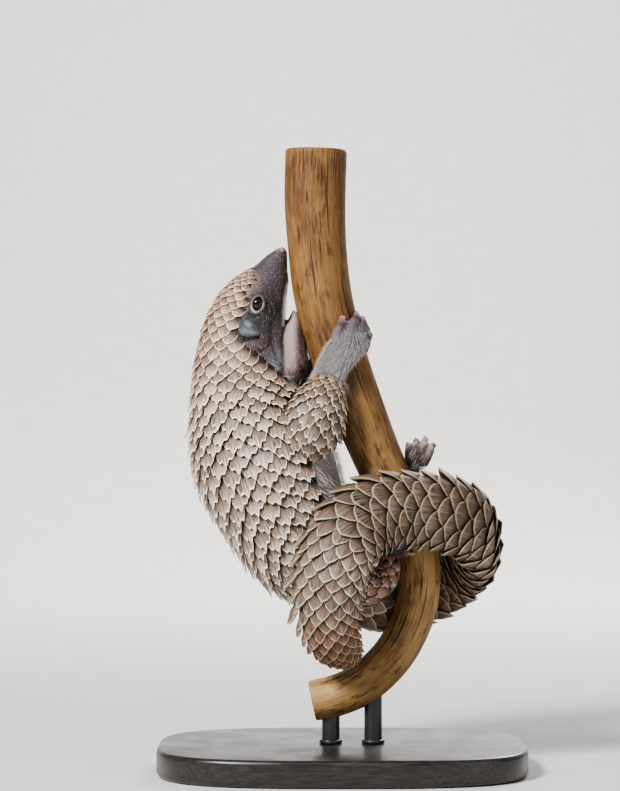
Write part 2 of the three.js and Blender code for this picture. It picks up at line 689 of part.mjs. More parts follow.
function hand(side, turn) {
  const at = (z, angle, out) => {
    const point = onBranch(z, angle, out);
    return new THREE.Vector3(point.x, side * point.y, point.z);
  };
  const palm = [
    [[176.4, -42, 6.2, 4.0], [184.0, -22, 4.8, 4.2], [191.6, 0, 4.3, 3.9], [197.6, 14, 3.2, 2.8]],
    [[175.4, -22, 7.2, 4.8], [183.4, 0, 5.0, 4.6], [190.4, 20, 4.6, 4.4], [196.4, 36, 3.6, 3.4]],
    [[177.6, 2, 5.8, 3.8], [184.4, 26, 4.8, 4.2], [189.6, 44, 4.0, 3.9], [192.8, 56, 3.0, 2.6]],
  ].map((path) => {
    const points = path.map(([z, angle, out]) => at(z, angle + turn, out));
    return solid(bar(points, path.map((place) => place[3]), 8));
  });
  const digits = [
    [[194.6, 6], [199.0, 15], [201.2, 22], [202.2, 27]],
    [[195.4, 28], [199.6, 44], [201.8, 56], [202.6, 65]],
    [[193.8, 46], [197.8, 62], [199.6, 74], [200.0, 84]],
    [[189.8, 52], [193.4, 70], [195.0, 82], [195.2, 92]],
    [[185.4, 46], [188.2, 62], [189.4, 74], [189.6, 84]],
  ].map((path) => {
    const outs = [3.2, 3.0, 2.5, 0.9];
    return digit(path.map(([z, angle], k) => at(z, angle + turn, outs[k])), 2.1);
  });
  return [...palm, ...digits].reduce((all, one) => all.add(one));
}

function footRight() {
  const sole = bar([onBranch(98.4, -66, 5.0), onBranch(102.2, -56, 4.0), onBranch(106.0, -46, 3.2)],
    [3.4, 3.3, 2.4], 9);
  const digits = [
    [[104, -54], [107.8, -40], [109.6, -26], [110.0, -16]],
    [[103, -46], [105.6, -30], [106.6, -16], [106.6, -6]],
    [[101, -44], [102.4, -28], [102.8, -14], [102.4, -4]],
    [[99, -46], [99.4, -32], [99.4, -20], [98.8, -11]],
  ].map((path) => digit(path.map(([z, angle], k) => onBranch(z, angle, [2.6, 2.4, 2.0, 0.8][k])), 1.7));
  return digits.reduce((all, one) => all.add(one), solid(sole));
}

function footLeft() {
  const ankleToBall = [onBranch(134.5, 129, 5.8), onBranch(138.0, 120, 5.4), onBranch(140.6, 112, 6.2)];
  const sole = bar(ankleToBall, [3.6, 3.8, 3.0], 9);
  const digits = [
    [[138.4, 122, 4.4], [142.4, 125, 5.2], [145.0, 125, 6.2], [146.6, 124, 5.6]],
    [[138.8, 115, 5.4], [143.4, 112, 6.8], [146.4, 110, 8.2], [148.2, 108, 8.0]],
    [[138.2, 107, 6.6], [142.2, 101, 9.2], [144.8, 97, 11.4], [146.4, 95, 12.0]],
    [[136.4, 103, 7.4], [139.2, 96, 10.8], [141.2, 92, 13.6], [142.2, 90, 14.8]],
  ].map((path) => digit(path.map((place) => onBranch(...place)), 1.8));
  return digits.reduce((all, one) => all.add(one), solid(sole));
}

function buildHandsAndFeet() {
  const pieces = {
    hand_right: [hand(1, 0), 'foreleg_right'],
    hand_left: [hand(-1, -24), 'foreleg_left'],
    foot_right: [footRight(), 'hindleg_right'],
    foot_left: [footLeft(), 'hindleg_left'],
  };
  for (const [name, [body, limb]] of Object.entries(pieces)) {
    const clear = cutAway(body, solid(limbRoom(LIMBS[limb].stations)), solid(branchBar(GAP)));
    addNode(name, largest(clear), COLOURS.fur);
  }
}

// Tail, in lengths from its root to its tip
function tailSizes(s, a) {
  const degrees = Math.abs(a) / DEGREE;
  const taper = THREE.MathUtils.lerp(0.35, 1, smooth(spine.length, spine.length - 30, s));
  const grown = smooth(station.rump + 4, station.rump + 30, s);
  const onEdge = Math.abs(degrees - 90) < 10;
  const below = degrees > 110 ? 0.8 : 1;
  const thickness = onEdge
    ? THREE.MathUtils.lerp(TAIL_THICKNESS, SPIKE_THICKNESS, grown)
    : TAIL_THICKNESS * below;
  const overhang = (onEdge ? SPIKE_OVERHANG : TAIL_OVERHANG) * grown;
  return [thickness * taper, overhang * taper];
}

function clearOfRump(skin) {
  const clear = cutAway(solid(skin), solid(limbRoom(RIGHT_HINDLEG)));
  return largest(beyond(clear, station.rump, 1));
}

function buildTail() {
  const lengths = Object.entries(TAIL_NODES);
  const total = lengths.reduce((sum, [, rings]) => sum + rings, 0);
  const pitch = (spine.length - station.rump) / total;
  let from = station.rump;
  lengths.forEach(([name, rings], k) => {
    const to = from + rings * pitch;
    const isTip = k === lengths.length - 1;
    const skin = scaledTube(spine, {
      from: from + CURVED_CUT / 2,
      to: isTip ? spine.length : to - CURVED_CUT / 2,
      rings,
      columns: TAIL_COLUMNS,
      thickness: (s, a) => tailSizes(s, a)[0],
      overhang: (s, a) => tailSizes(s, a)[1],
      keel: 0.1,
      cusps: false,
      salt: 10 + k,
      endReach: isTip ? 1.2 : 0,
    });
    addNode(name, k === 0 ? clearOfRump(skin) : skin, COLOURS.tail);
    from = to;
  });
}

buildHead();
buildTorsoAndLimbs();
buildHandsAndFeet();
buildTail();
addNode('perch_branch', branchBar(0), COLOURS.wood, 0.7);
addNode('stand_base', standBase(), COLOURS.stand, 0.4);
ROD_PLACES.forEach((x, k) => addNode(`stand_rod_${k + 1}`, standRod(x), COLOURS.stand, 0.4));

export default pangolin;
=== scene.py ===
# %% [markdown]
# # A young tree pangolin, scale by scale
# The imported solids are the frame: they say where every part of the animal lies. This
# lesson dresses them with one smooth skin, separate horn scales, hair, eyes and claws, and
# gives the branch and the display stand their finish. Tables are in millimetres, because
# an animal this small is measured that way, and every mesh is made in metres.

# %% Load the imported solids
import math

import bpy
import numpy as np
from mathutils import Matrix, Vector


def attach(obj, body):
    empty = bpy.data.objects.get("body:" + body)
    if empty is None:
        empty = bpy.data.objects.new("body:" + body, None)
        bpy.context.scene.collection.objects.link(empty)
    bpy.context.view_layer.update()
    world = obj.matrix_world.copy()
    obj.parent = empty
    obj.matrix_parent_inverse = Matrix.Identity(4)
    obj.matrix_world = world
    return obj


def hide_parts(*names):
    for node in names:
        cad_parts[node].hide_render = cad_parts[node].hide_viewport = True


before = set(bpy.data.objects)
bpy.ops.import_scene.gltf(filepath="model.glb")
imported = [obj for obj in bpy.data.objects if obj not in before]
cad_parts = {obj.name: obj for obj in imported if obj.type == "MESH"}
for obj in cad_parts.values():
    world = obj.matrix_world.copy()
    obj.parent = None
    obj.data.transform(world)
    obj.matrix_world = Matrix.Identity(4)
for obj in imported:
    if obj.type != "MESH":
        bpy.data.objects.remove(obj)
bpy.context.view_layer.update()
MM = 0.001

# %% [markdown]
# ## The camera
# The picture is upright, so the camera's sensor width is its height. The camera looks level
# and straight at the animal's right side from 1.2 m, with a long lens, which is how such a
# close portrait keeps a body's proportions.

# %% Camera
CAMERA_PLACE = (-14.4 * MM, -1.2, 168.5 * MM)
PHOTO_HEIGHT = 791
PIXEL = 0.45 * MM
SENSOR = 36.0

camera_data = bpy.data.cameras.new("camera")
camera_data.sensor_width = SENSOR
camera_data.lens = SENSOR * -CAMERA_PLACE[1] / (PHOTO_HEIGHT * PIXEL)
camera = bpy.data.objects.new("camera", camera_data)
camera.location = CAMERA_PLACE
camera.rotation_euler = (math.radians(90), 0, 0)
bpy.context.scene.collection.objects.link(camera)
bpy.context.scene.camera = camera
print("lens:", round(camera_data.lens, 1), "mm")

# %% [markdown]
# ## The spine of stations
# A body like this is drawn as a line of cross sections. Each station has a centre, the way
# its upper side faces, and three half sizes: towards the back, towards the belly and to
# the side. A smooth curve runs through each of these, so the body can be asked for any
# point: how far along, at which angle round, and how high above the skin.

# %% Curves and spines
STEPS = 20  # measured steps from one station to the next


def curve_at(points, share):
    """Points of a smooth curve through all of `points`, at shares from 0 to 1."""
    points = np.asarray(points, float)
    last = len(points) - 1
    padded = np.vstack([2 * points[0] - points[1], points, 2 * points[-1] - points[-2]])
    place = np.clip(np.asarray(share, float), 0, 1) * last
    k = np.minimum(place.astype(int), last - 1)
    w = (place - k)[..., None]
    before, start, end, after = padded[k], padded[k + 1], padded[k + 2], padded[k + 3]
    leave, arrive = (end - before) / 2, (after - start) / 2
    bend = 2 * start - 2 * end + leave + arrive
    swing = 3 * end - 3 * start - 2 * leave - arrive
    return ((bend * w + swing) * w + leave) * w + start


def unit(vectors):
    return vectors / np.linalg.norm(vectors, axis=-1, keepdims=True)


def heading(points, share, nearby=1e-4):
    return unit(curve_at(points, share + nearby) - curve_at(points, share - nearby))


class Spine:
    """A line of stations, read by the length from the first one."""

    def __init__(self, stations):
        self.centres, self.uppers, self.sizes = ([s[k] for s in stations] for k in range(3))
        self.shares = np.linspace(0, 1, STEPS * (len(stations) - 1) + 1)
        steps = np.linalg.norm(np.diff(curve_at(self.centres, self.shares), axis=0), axis=1)
        self.lengths = np.concatenate([[0], np.cumsum(steps)])
        self.length = self.lengths[-1]

    def frame(self, s):
        """Centre, the directions along, up and right, and the half sizes, at lengths s."""
        share = np.interp(s, self.lengths, self.shares)
        along = heading(self.centres, share)
        up = curve_at(self.uppers, share)
        up = unit(up - along * (up * along).sum(-1, keepdims=True))
        return curve_at(self.centres, share), along, up, np.cross(up, along), curve_at(self.sizes, share)

    def point(self, s, a, lift=0.0):
        """Points at lengths s and angles a from the middle of the back, lifted off the skin."""
        s, a, lift = np.broadcast_arrays(*(np.asarray(v, float) for v in (s, a, lift)))
        centre, along, up, right, sizes = self.frame(s)
        high = np.where(np.cos(a) > 0, sizes[..., 0], sizes[..., 1])
        side = sizes[..., 2]
        c, d = np.cos(a)[..., None], np.sin(a)[..., None]
        normal = unit(up * c / high[..., None] + right * d / side[..., None])
        skin = centre + up * c * high[..., None] + right * d * side[..., None]
        return skin + normal * lift[..., None]


print("steps between stations:", STEPS)

# %% [markdown]
# ## The animal's measures
# These are the same stations as the solids have, so skin and scales lie where the solids
# do. The trunk runs from the nose to the rump. The tail goes on from there, behind the
# branch, round it and across its front.

# %% Stations
TRUNK = {  # x and z of the centre, then the half sizes
    "nose": (-26.2, 234.8, 2.2, 1.6, 2.2),
    "nostrils": (-27.6, 231.6, 4.2, 3.4, 3.9),
    "muzzle": (-29.6, 227.4, 6.6, 5.6, 5.2),
    "bridge": (-32.2, 221.4, 9.8, 8.8, 8.0),
    "eyes": (-38.2, 209.6, 16.6, 13.2, 12.4),
    "ears": (-42.8, 196.6, 19.6, 17.0, 16.0),
    "nape": (-44.2, 183.4, 21.2, 20.8, 18.5),
    "shoulders": (-42.8, 167.4, 24.0, 25.0, 22.5),
    "chest": (-38.2, 150.3, 29.4, 28.6, 26),
    "belly": (-32.4, 131.4, 29.4, 31.0, 27),
    "loin": (-24.3, 113.4, 26.4, 28.0, 25),
    "hips": (-14.0, 97.2, 22.6, 22.6, 21.5),
    "rump": (-1.8, 85.0, 16.0, 16.5, 18),
}
TAIL = [  # centre, the way the upper side faces, half sizes
    ((8.5, 6.4, 78.8), (-0.5, 0.65, -0.6), (12.4, 11.5, 15.0)),
    ((21.4, 19.6, 77.2), (-0.35, 0.93, -0.2), (10.2, 9.2, 15.0)),
    ((38.4, 23.6, 81.4), (0.3, 0.95, -0.1), (9.5, 8.6, 15.5)),
    ((54.5, 15.5, 91.4), (0.8, 0.6, -0.1), (9.0, 8.5, 15.5)),
    ((60.6, 1, 100.8), (1.0, 0.0, 0.05), (9.0, 8.5, 15.2)),
    ((56.5, -12, 110.2), (0.7, -0.7, 0.1), (8.5, 8.0, 14.8)),
    ((44.1, -20.5, 116.0), (0.25, -0.95, 0.15), (8.0, 7.5, 14.5)),
    ((28.4, -24.5, 118.0), (0, -1, 0.12), (8.0, 7.5, 14.5)),
    ((13.5, -28.5, 115.4), (-0.1, -0.98, 0.15), (8.0, 7.0, 15)),
    ((1.4, -33, 106.2), (-0.25, -0.95, 0.15), (8.0, 6.5, 15)),
    ((-4.6, -34.5, 91.8), (-0.3, -0.95, 0), (7.5, 6.0, 14.2)),
    ((-6.6, -31.5, 75.0), (-0.25, -0.95, -0.15), (7.0, 5.5, 12.6)),
    ((-4.6, -24.5, 61.8), (-0.1, -0.8, -0.6), (6.0, 5.0, 11.0)),
    ((-1.0, -15, 53.8), (0, -0.5, -0.87), (5.0, 4.0, 8.8)),
    ((1.4, -6.5, 51.2), (0, 0, -1), (3.6, 3.2, 6)),
    ((2.4, 0.5, 51.8), (0, 0.25, -0.97), (1.6, 1.6, 2.2)),
]
FORELEG = [
    ((-4.6, -19.6, 176.2), (0, -1, 0), (4.6, 4.0, 6.8)),
    ((-8.3, -22.4, 167.4), (0, -1, 0), (7.2, 6.6, 9.6)),
    ((-11.6, -22.6, 158.4), (0, -1, 0), (8.8, 9.0, 11.8)),
    ((-13.8, -20.4, 150.8), (0, -1, 0), (9.2, 10.0, 11.6)),
    ((-14.8, -17.4, 145.2), (0, -1, -0.3), (7.4, 8.5, 8.4)),
    ((-15.4, -15.2, 142.2), (0, -1, -0.6), (3.0, 3.6, 3.4)),
]
RIGHT_HINDLEG = [
    ((21.4, -13.8, 96.6), (0, -1, 0), (3.4, 3.2, 4.6)),
    ((20.6, -16.5, 89.8), (0, -1, 0), (4.6, 4.2, 5.4)),
    ((16.8, -19.4, 84.4), (0, -1, 0), (5.0, 4.8, 6.0)),
    ((9.0, -20.6, 83.0), (0, -1, 0), (5.0, 5.0, 6.6)),
    ((0.6, -19.6, 88.0), (0, -1, 0), (4.8, 5.6, 7.4)),
    ((-7.6, -14.5, 95.6), (0, -1, 0), (5.0, 5.6, 7.0)),
]
LEFT_HINDLEG = [
    ((31.6, 9.6, 136.2), (0.6, 0.8, 0), (3.6, 3.6, 4.6)),
    ((26.6, 17.4, 130.6), (0.3, 0.95, 0), (4.8, 4.8, 6.0)),
    ((16.4, 20.6, 122.8), (0, 1, 0), (6.4, 6.4, 7.6)),
    ((4.6, 21.0, 114.8), (0, 1, 0), (8.0, 8.0, 9.4)),
    ((-7.2, 17.0, 107.0), (0, 1, 0), (8.6, 8.6, 10.2)),
    ((-15.4, 11.0, 101.2), (0, 1, 0), (7.0, 7.0, 8.0)),
]


def mirrored(stations):
    flip = np.array([1, -1, 1])
    return [(np.multiply(c, flip), np.multiply(u, flip), size) for c, u, size in stations]


trunk_centres = [np.array([v[0], 0, v[1]]) for v in TRUNK.values()]
trunk_stations = []
for k, values in enumerate(TRUNK.values()):
    ahead = trunk_centres[min(k + 1, len(TRUNK) - 1)] - trunk_centres[max(k - 1, 0)]
    trunk_stations.append((trunk_centres[k], unit(np.cross((0, 1, 0), ahead)), values[2:]))

spine = Spine(trunk_stations + TAIL)
station = {name: spine.lengths[STEPS * k] for k, name in enumerate(TRUNK)}
limbs = {
    "foreleg_right": Spine(FORELEG),
    "foreleg_left": Spine(mirrored(FORELEG)),
    "hindleg_right": Spine(RIGHT_HINDLEG),
    "hindleg_left": Spine(LEFT_HINDLEG),
}
print("nose to rump:", round(station["rump"]), "mm, tail:", round(spine.length - station["rump"]), "mm")

# %% [markdown]
# ## The branch's line
# The hands and feet are placed on the branch by height, by angle round it and by distance
# from its bark, so they keep their hold whatever the branch's size.

# %% Places on the branch
BRANCH = [  # x, z and radius
    (-11.7, 279.0, 14.0), (-12.2, 256.5, 13.8), (-11.2, 236.2, 13.2), (-9.0, 216.0, 13.0),
    (-5.0, 198.0, 12.7), (0.5, 180.0, 12.3), (7.2, 162.0, 11.8), (14.0, 145.3, 11.2),
    (21.6, 128.2, 10.8), (29.2, 112.5, 10.3), (34.2, 96.8, 9.8), (34.6, 81.0, 9.6),
    (31.1, 66.6, 9.5), (22.9, 51.8, 9.5), (10.3, 39.6, 9.5), (-3.1, 33.3, 9.3),
    (-13.5, 31.1, 9.0),
]
branch_centres = [(x, 0, z) for x, z, _ in BRANCH]
branch_radii = [radius for *_, radius in BRANCH]


def on_branch(z, angle, out):
    """The point at height z, at an angle from the right side, `out` from the bark."""
    shares = np.arange(0, 1, 0.002)
    share = shares[np.argmax(curve_at(branch_centres, shares)[:, 2] <= z)]
    across = -np.cross((0, 1, 0), heading(branch_centres, share))
    radius = np.interp(share * (len(BRANCH) - 1), range(len(BRANCH)), branch_radii)
    turn = math.radians(angle)
    around = across * math.sin(turn) - np.array([0, 1, 0]) * math.cos(turn)
    return curve_at(branch_centres, share) + around * (radius + out)


print("bark by the hands:", np.round(on_branch(190, 20, 0), 1))

# %% [markdown]
# ## Working in Blender without a mouse
# Operators act on whatever is selected, so every step starts from nothing selected. These
# helpers add a primitive, hand its points to a rule that places them, and apply modifiers
# at once, so that a finished piece holds plain mesh and sits at the origin.

# %% Numbers and colours
def smooth(low, high, value):
    """0 up to low, 1 from high on, and a soft step between them."""
    t = np.clip((np.asarray(value, float) - low) / (high - low), 0, 1)
    return t * t * (3 - 2 * t)


def hill(distance, width):
    return np.exp(-(distance / width) ** 2)


def spot(u, v, middle_u, middle_v, wide, high):
    """1 in the middle of an oval and fading out from there."""
    return hill(np.hypot((u - middle_u) / wide, (v - middle_v) / high), 1)


def blend(first, second, share):
    return np.asarray(first) * (1 - share) + np.asarray(second) * share


def shade(red, green, blue):
    """A colour as it is seen, 0 to 255, turned into the linear values that nodes work with."""
    seen = np.array([red, green, blue]) / 255
    return tuple(np.where(seen <= 0.04045, seen / 12.92, ((seen + 0.055) / 1.055) ** 2.4)) + (1.0,)


print("middle grey:", round(shade(128, 128, 128)[0], 3))

# %% Objects and meshes
def alone(piece):
    bpy.ops.object.select_all(action="DESELECT")
    piece.select_set(True)
    bpy.context.view_layer.objects.active = piece


def primitive(kind, name, **settings):
    bpy.ops.object.select_all(action="DESELECT")
    getattr(bpy.ops.mesh, f"primitive_{kind}_add")(**settings)
    bpy.context.active_object.name = name
    return bpy.context.active_object


def read(collection, name, width=3):
    values = np.empty(width * len(collection), np.float32)
    collection.foreach_get(name, values)
    return values.reshape(-1, width).astype(float)


def get_points(piece):
    return read(piece.data.vertices, "co")


def set_points(piece, points):
    piece.data.vertices.foreach_set("co", np.asarray(points, np.float32).ravel())
    piece.data.update()


def faces_of(piece):
    return np.array([tuple(p.vertices) for p in piece.data.polygons])


def triangles_of(piece):
    return sum(len(p.vertices) - 2 for p in piece.data.polygons)


def give(piece, name, values, kind="FLOAT"):
    """A named value at each point: a number, a vector or a colour."""
    layer = piece.data.attributes.new(name, kind, "POINT")
    slot = {"FLOAT": "value", "FLOAT_VECTOR": "vector", "FLOAT_COLOR": "color"}[kind]
    layer.data.foreach_set(slot, np.asarray(values, np.float32).ravel())


def give_map(piece, name, places):
    """A UV map with a place for each corner of the faces."""
    layer = piece.data.uv_layers.new(name=name)
    layer.data.foreach_set("uv", places.astype(np.float32).ravel())


def finish_modifier(piece, kind, **settings):
    alone(piece)
    modifier = piece.modifiers.new(kind.lower(), kind)
    for name, value in settings.items():
        setattr(modifier, name, value)
    bpy.ops.object.modifier_apply(modifier=modifier.name)


def finish_faces(piece, chosen, operator, **settings):
    """Runs a mesh operator on the chosen faces."""
    alone(piece)
    bpy.context.tool_settings.mesh_select_mode = (False, False, True)
    bpy.ops.object.mode_set(mode="EDIT")
    bpy.ops.mesh.select_all(action="DESELECT")
    bpy.ops.object.mode_set(mode="OBJECT")
    piece.data.polygons.foreach_set("select", chosen)
    bpy.ops.object.mode_set(mode="EDIT")
    getattr(bpy.ops.mesh, operator)(**settings)
    bpy.ops.object.mode_set(mode="OBJECT")


def joined(name, pieces):
    alone(pieces[0])
    for piece in pieces:
        piece.select_set(True)
    bpy.ops.object.join()
    pieces[0].name = name
    return pieces[0]


def shade_smooth(piece, degrees=180):
    alone(piece)
    if degrees == 180:
        bpy.ops.object.shade_smooth()
    else:
        bpy.ops.object.shade_smooth_by_angle(angle=math.radians(degrees))
    return piece


# %% Round forms
ROUND_END = 0.8  # how far a rod's round end reaches, in radii


def ball(name, around, rings):
    """A unit ball whose points are read back as length shares and angles, ready to be wrapped."""
    piece = primitive("uv_sphere", name, segments=around, ring_count=rings, radius=1)
    points = get_points(piece)
    share = np.arccos(np.clip(points[:, 2], -1, 1)) / math.pi
    return piece, share, np.arctan2(points[:, 1], points[:, 0])


def wrapped(name, line, around, rings, lift, reach):
    """A ball's skin drawn over a whole spine. Its poles lie `reach` past the ends."""
    piece, share, angle = ball(name, around, rings)
    s = np.clip(share * line.length, 0, line.length)
    points = line.point(s, angle, lift(s))
    for pole, place, sign in ((0, 0, -1), (1, line.length, 1)):
        centre, along = line.frame(np.array(place))[:2]
        points[np.isclose(share, pole, atol=1e-4)] = centre + sign * reach[pole] * along
    set_points(piece, points * MM)
    return piece


def rod(name, points, radii, around=16, rings=24, flat=1.0):
    """A round form through points, as thick as radii say, closed by round ends."""
    ways = np.gradient(np.asarray(points, float), axis=0)
    hint = (0, 1, 0) if abs(unit(ways.sum(0))[1]) < 0.9 else (1, 0, 0)
    line = Spine([(p, hint, (r * flat, r * flat, r)) for p, r in zip(points, radii)])
    piece, share, angle = ball(name, around, rings)
    ends = max(radii[0], radii[-1]) * ROUND_END / line.length
    inner = np.clip((share - ends) / (1 - 2 * ends), 0, 1)
    centre, along, up, right, sizes = line.frame(inner * line.length)
    start, end = np.clip(1 - share / ends, 0, 1), np.clip(1 - (1 - share) / ends, 0, 1)
    shrink = np.sqrt(1 - np.maximum(start, end) ** 2)[:, None]
    past = (end * radii[-1] - start * radii[0])[:, None] * ROUND_END
    across = up * np.cos(angle)[:, None] * sizes[:, :1] + right * np.sin(angle)[:, None] * sizes[:, 2:]
    set_points(piece, (centre + along * past + across * shrink) * MM)
    return piece


def beside(line, points, end, count=400):
    """How points lie by a line: the length along it, the angle round it, the gap to its skin."""
    s = np.linspace(0.0, end, count)
    centre, along, up, right, sizes = line.frame(s)
    nearest = [((centre**2).sum(1) - 2 * p @ centre.T).argmin(1) for p in np.array_split(points, 20)]
    k = np.concatenate(nearest)
    off = points - centre[k]
    upward, sideways = (off * up[k]).sum(-1), (off * right[k]).sum(-1)
    high = np.where(upward > 0, sizes[k, 0], sizes[k, 1])
    a = np.arctan2(sideways / sizes[k, 2], upward / high)
    skin = np.hypot(np.cos(a) * high, np.sin(a) * sizes[k, 2])
    return s[k], a, np.linalg.norm(off, axis=1) - skin


print("the eyes lie", round(station["eyes"], 1), "mm from the nose")

# %% [markdown]
# ## One skin
# Under its scales the animal has one continuous skin. Trunk and tail are one long form, and
# the limbs, palms, soles and digits are others. They are joined and wrapped again as one
# closed surface by a voxel remesh, which melts the seams, and then smoothed. The skin lies
# a little inside the solids, because the scales need their own depth.

# %% Palms, soles and digits
def digit(path, outs, radius, place=on_branch):
    return [place(z, angle, out) for (z, angle), out in zip(path, outs)], radius


def hand_forms(side, turn):
    """Palm rods and digits of a hand, side 1 being the animal's right."""
    def at(z, angle, out):
        return on_branch(z, angle + turn, out) * np.array([1, side, 1])

    palm = [  # height, angle, distance from the bark and radius
        [(176.4, -42, 7.2, 4.3), (184.0, -23, 4.9, 4.2), (190.4, -2, 4.3, 3.7), (194.0, 8, 3.2, 2.5)],
        [(175.4, -29, 8.0, 4.8), (183.4, -2, 5.2, 4.5), (189.4, 19, 4.6, 4.1), (193.0, 30, 3.6, 2.8)],
        [(178.0, -22, 6.8, 3.6), (184.4, 12, 5.0, 3.8), (188.6, 38, 4.0, 3.5), (190.4, 50, 3.0, 2.2)],
    ]
    digits = [
        [(194.6, 6), (199.0, 15), (201.2, 22), (202.2, 27)],
        [(195.4, 28), (199.6, 44), (201.8, 56), (202.6, 65)],
        [(193.8, 46), (197.8, 62), (199.6, 74), (200.0, 84)],
        [(189.8, 52), (193.4, 70), (195.0, 82), (195.2, 92)],
        [(185.4, 46), (188.8, 58), (191.0, 67), (192.4, 73)],
    ]
    outs = [(3.4, 3.4, 2.6, 0.9)] * 4 + [(3.4, 4.0, 4.4, 4.2)]
    palms = [([at(*place[:3]) for place in path], [place[3] for place in path]) for path in palm]
    return palms, [digit(path, out, 2.3, at) for path, out in zip(digits, outs)]


def right_foot_forms():
    sole = [on_branch(98.4, -66, 5.0), on_branch(102.2, -56, 4.0), on_branch(106.0, -46, 3.2)]
    toes = [
        [(104, -54), (107.8, -40), (109.6, -26), (110.0, -16)],
        [(103, -46), (105.6, -30), (106.6, -16), (106.6, -6)],
        [(101, -44), (102.4, -28), (102.8, -14), (102.4, -4)],
        [(99, -46), (99.4, -32), (99.4, -20), (98.8, -11)],
    ]
    return [(sole, [3.4, 3.3, 2.4])], [digit(path, (2.6, 2.4, 2.0, 0.8), 1.7) for path in toes]


def left_foot_forms():
    sole = [on_branch(131.0, 127, 5.8), on_branch(134.0, 118, 6.0), on_branch(136.4, 109, 7.4)]
    toes = [  # the toes stand off the bark, so each place has its own distance from it
        ([(133.0, 122), (136.8, 119), (139.8, 116), (141.0, 114)], (3.8, 4.4, 5.4, 5.6)),
        ([(133.0, 116), (137.2, 111), (140.4, 107), (141.6, 105)], (5.0, 6.8, 8.6, 9.0)),
        ([(132.2, 109), (136.0, 103), (139.2, 98), (140.4, 96)], (6.4, 9.2, 11.8, 12.4)),
        ([(130.6, 104), (133.4, 97), (135.8, 92), (136.6, 90)], (7.8, 11.0, 14.0, 14.8)),
    ]
    return [(sole, [4.0, 4.6, 3.8])], [digit(*toe, 2.2) for toe in toes]


paws = {
    "hand_right": hand_forms(1, 0), "hand_left": hand_forms(-1, -24),
    "foot_right": right_foot_forms(), "foot_left": left_foot_forms(),
}
print({name: len(toes) for name, (_, toes) in paws.items()})

# %% The parts of the skin
JAW = [  # x, z and radius, from the chin's tip down to the throat
    (-21.4, 206.0, 1.5), (-21.5, 201.6, 3.0), (-22.0, 195.6, 4.9), (-21.7, 188.8, 6.1),
    (-21.4, 181.8, 6.1), (-23.6, 175.6, 4.3),
]
JAW_WIDENING = 1.5
SUNK = 0.4  # how deep the skin lies where scales cover it
VOXEL = 1.38


def under_scales(s):
    return -SUNK * smooth(station["bridge"], station["ears"], s)


forms = [wrapped("skin_trunk", spine, 96, 560, under_scales, (1.4, 1.0))]
for name, line in limbs.items():
    forms.append(wrapped("skin_" + name, line, 40, 48, lambda s: -0.2, (0.6, 1.0)))
for name, (palms, toes) in paws.items():
    for path, radii in palms:
        forms.append(rod("skin_" + name, path, radii))
    for path, radius in toes:
        forms.append(rod("skin_" + name, path[:3], [radius * 1.1, radius, radius * 0.75]))
jaw = rod("skin_jaw", [(x, 0, z) for x, z, _ in JAW], [radius for *_, radius in JAW], 24, 40)
set_points(jaw, get_points(jaw) * (1, JAW_WIDENING, 1))
skin = joined("skin", forms + [jaw])
finish_modifier(skin, "REMESH", mode="VOXEL", voxel_size=VOXEL * MM, use_smooth_shade=True)
finish_modifier(skin, "SMOOTH", factor=0.5, iterations=2)
print("skin faces:", len(skin.data.polygons))

# %% [markdown]
# ## Where the scales end
# Scales cover the forehead, the neck's sides, the back, the flanks, the outer side of the
# limbs and the whole tail. The face, the throat and the belly are bare skin with short
# hair. One table of lengths and angles says where the border runs. Skin, scales and hair
# all read it, so they agree.

# %% The border of the scales
SCALED_EDGE = [  # mm from the nose, degrees from the middle of the back
    (11, 0), (13.4, 18), (16, 45), (18.9, 64), (26.8, 71), (31.5, 75), (37.8, 71), (42.5, 77),
    (48, 85), (50.4, 98), (53.9, 113), (57.5, 124), (61, 134), (65.3, 144), (77, 142), (88.8, 136),
    (102, 133), (127.5, 129), (166, 126),
]
THROAT_BACK, BARK_SIDE = -27.5, -14.8  # x of the bare throat's two sides
CHIN, THROAT_TOP = 174, 208.5
THROAT_HALF_WIDTH = 10.5
FACE_END = 66  # mm from the nose


def scaled_limit(s):
    """The last angle from the back at which the trunk carries scales, in radians."""
    return np.radians(np.interp(s, *np.transpose(SCALED_EDGE)))


def face_or_belly(points):
    """Lengths and angles on the trunk, the gap to it, and how bare of scales it is there."""
    x, y, z = points.T
    s, a, gap = beside(spine, points, station["rump"])
    bare = smooth(-0.10, 0.04, np.abs(a) - scaled_limit(s)) * smooth(2.5, 1.2, gap)
    throat = (x > THROAT_BACK) & (x < BARK_SIDE) & (z > CHIN) & (z < THROAT_TOP)
    throat &= np.abs(y) < THROAT_HALF_WIDTH
    return s, a, gap, np.maximum(bare, np.maximum(smooth(12, 8, s), throat))


print("scales end at the eye:", round(math.degrees(scaled_limit(28.0))), "degrees")

# %% [markdown]
# ## A finer face
# The remeshed skin has faces of a millimetre, which is enough under scales and too coarse
# for lids and lips. So the bare face is subdivided twice, and the skin round each eye once
# more, and the new points are smoothed before anything is shaped.

# %% Finer skin where it shows
EYE_CENTRE = np.array([-37.7, 9.6, 209.3])
EYEBALL = 4.0
LIDS_HALF_WIDTH, LIDS_HALF_HEIGHT, LIDS_LEAN = 2.25, 3.3, 0.24


def lid_share(points):
    """Seen from the side, 1 on the edge of the lids' opening, less inside it."""
    x, z = points[:, 0] - EYE_CENTRE[0], points[:, 2] - EYE_CENTRE[2]
    long = (x * math.sin(LIDS_LEAN) + z * math.cos(LIDS_LEAN)) / LIDS_HALF_HEIGHT
    wide = (x * math.cos(LIDS_LEAN) - z * math.sin(LIDS_LEAN)) / LIDS_HALF_WIDTH
    off_the_side = np.abs(points[:, 1]) < 6
    return (np.abs(wide) ** 1.7 + np.abs(long) ** 2) ** 0.54 + 10 * off_the_side


